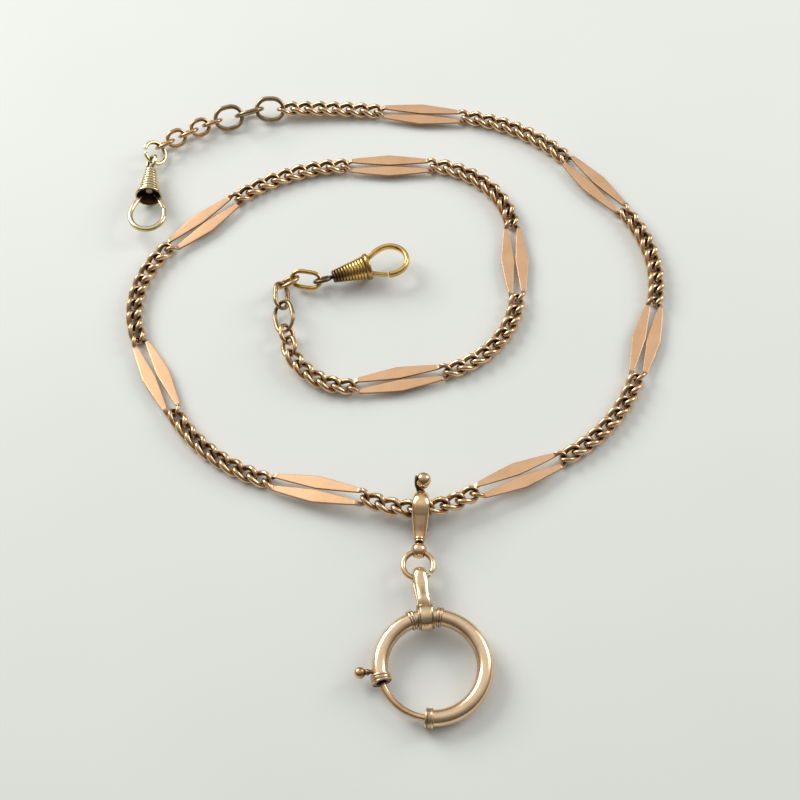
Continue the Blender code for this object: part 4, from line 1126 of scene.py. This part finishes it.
def tube(place):
    """A hollow tube bent into a ring and open at its bolt side, with the closed seam of the sheet along its inside."""
    theta = circle_angles(44)
    theta = np.sort(np.concatenate([theta, TUBE_SEAM + np.array([-0.09, -0.045, 0.0, 0.045, 0.09])]))
    seam = bump(theta, TUBE_SEAM, 0.035)
    outer_radius = TUBE / 2 * (1 - 0.012 * seam) * 0.99
    bore = TUBE / 2 - TUBE_WALL
    inside = np.linspace(BOLT_START - KNOB_TRAVEL - SPARE, TUBE_END, 30)
    outside = np.linspace(TUBE_END, TUBE_START, 150)
    angles = np.concatenate([inside, outside, [TUBE_START, TUBE_START + COLLAR_SPAN]])
    radii = np.vstack(
        [
            np.full((len(inside), len(theta)), bore),
            np.repeat(outer_radius[None], len(outside), 0),
            np.full((2, len(theta)), bore),
        ]
    )
    # Painted shade inside the bore and on the end faces; outside, the seam is darker and the side that faces the ring's
    # middle is painted a little darker as shade.
    grime = np.zeros_like(radii)
    grime[: len(inside)] = 0.9
    grime[-2:] = 0.9
    grime[len(inside) : -2] = 0.3 * seam + 0.12 * np.clip(-np.cos(theta), 0, 1)
    made = Piece().add(round_ring(angles, radii, theta), place, False, grime).make(
        "bolt_ring_tube", "bolt_ring_tube", ring_gold, slot="satin", crease=40
    )
    slot_angles = np.linspace(KNOB_ANGLE - KNOB_TRAVEL - SPARE, KNOB_ANGLE + 5, 40)
    t = np.radians(slot_angles)[:, None]
    half = STEM_RADIUS + STEM_PLAY
    near, far = RING_RADIUS + bore * 0.55, RING_RADIUS + TUBE * 0.75
    away = np.array([near, far, far, near])[None]
    high = np.array([-half, -half, half, half])[None] + 0 * t
    cutter = np.stack([away * np.cos(t), away * np.sin(t), high], -1)
    cut(made, cutter, place)


def banded(name, place, start, end, rises):
    """A collar on the tube. Its outline over the angle is a row of rises above the tube, joined by smooth steps."""
    theta = circle_angles(44)
    inner = TUBE / 2 + FIXED_GAP
    share, rise = np.array(rises).T
    t = np.linspace(0, 1, 41)
    radius = inner + 0.02 + BAND_DRAWN * np.interp(t, share, rise)
    angles = np.concatenate([[start], start + (end - start) * t, [end]])
    radii = np.concatenate([[inner], radius, [inner]])
    # Tarnish and painted shade in the collar's grooves, and painted shade at its two ends where it meets the tube.
    low = 1 - np.interp(t, share, rise)
    grime = np.concatenate([[0.9], low * 0.75, [0.9]])[:, None]
    Piece().add(round_ring(angles, radii, theta), place, True, grime).make(
        name, "bolt_ring_tube", ring_gold, crease=45
    )


COLLAR = [(0, 0.45), (0.04, 0.8), (0.1, 0.9), (0.2, 0.82), (0.26, 0.3), (0.34, 0.28), (0.4, 0.62), (0.62, 0.66)]
COLLAR += [(0.68, 0.5), (0.74, 0.82), (0.86, 0.92), (0.95, 0.8), (1, 0.4)]
FLANGE = [(0, 0.4), (0.08, 0.8), (0.22, 0.92), (0.38, 0.8), (0.46, 0.35), (0.54, 0.35), (0.62, 0.75), (0.78, 0.86)]
FLANGE += [(0.92, 0.72), (1, 0.3)]


def bolt(place):
    """The sprung bolt: a rod round the same line, domed at its tip; and its knob, a ball on a waisted stalk."""
    theta = circle_angles(28)
    bore = TUBE / 2 - TUBE_WALL
    size = (bore - BOLT_PLAY) * DRAWN
    dome = np.linspace(0.3, 1.5, 6)
    rod = np.linspace(BOLT_START, BOLT_TIP - DOME, 50)
    angles = np.concatenate([rod, BOLT_TIP - DOME + DOME * np.sin(dome)])
    radii = size * np.concatenate([np.ones(len(rod)), np.cos(dome)])
    # Painted shade on the length of bolt that lies inside the tube.
    grime = (1 - smooth((angles - TUBE_END - 1) / 6))[:, None] * 0.8 + 0.1
    Piece().add(round_ring(angles, radii, theta), place, False, grime).make("bolt", "bolt", rose)
    root = RING_RADIUS + bore - BOLT_PLAY + FIXED_GAP
    turn = np.radians(np.linspace(30, 168, 26))
    # Painted shade on the knob's stalk and on the ball where it meets the stalk.
    fading = np.clip(0.7 - np.linspace(0, 1.2, len(turn)), 0, 1)
    ball = np.column_stack([KNOB_REACH - KNOB_RADIUS * np.cos(turn), KNOB_RADIUS * np.sin(turn), fading])
    stem = STEM_RADIUS * 0.98
    stalk = [(root, ON_AXIS), (root, stem), (10.35, stem), (10.55, 0.5), (10.75, 0.56), (10.95, 0.46)]
    stalk = [(away, radius, 0.6) for away, radius in stalk]
    knob, dirt_and_shade = turned_row(np.vstack([stalk, ball, (KNOB_REACH + KNOB_RADIUS, ON_AXIS, 0.0)]), 32)
    turned_to = math.radians(KNOB_ANGLE)
    ray = np.cos(turned_to) * place.axes[0] + np.sin(turned_to) * place.axes[1]
    Piece().add(knob, Place(place.origin, ray, 0.0, place.axes[2]), False, dirt_and_shade).make("bolt_knob", "bolt", rose)


shackle()
ring = ring_place()
tube(ring)
for side, end, out in (("left", TUBE_END, 1), ("low", TUBE_START, -1)):
    rim = end + out * COLLAR_OVERHANG
    banded(f"bolt_ring_collar_{side}", ring, rim, rim - out * COLLAR_SPAN, COLLAR)
clear = math.degrees((SHACKLE_WIDTH / 2 + PLAY) / (RING_RADIUS - TUBE / 2 - BAND_HEIGHT))
for side, out in (("left", 1), ("right", -1)):
    rim = SHACKLE_ANGLE + out * clear
    banded(f"bolt_ring_flange_{side}", ring, rim, rim + out * FLANGE_SPAN, FLANGE)
bolt(ring)
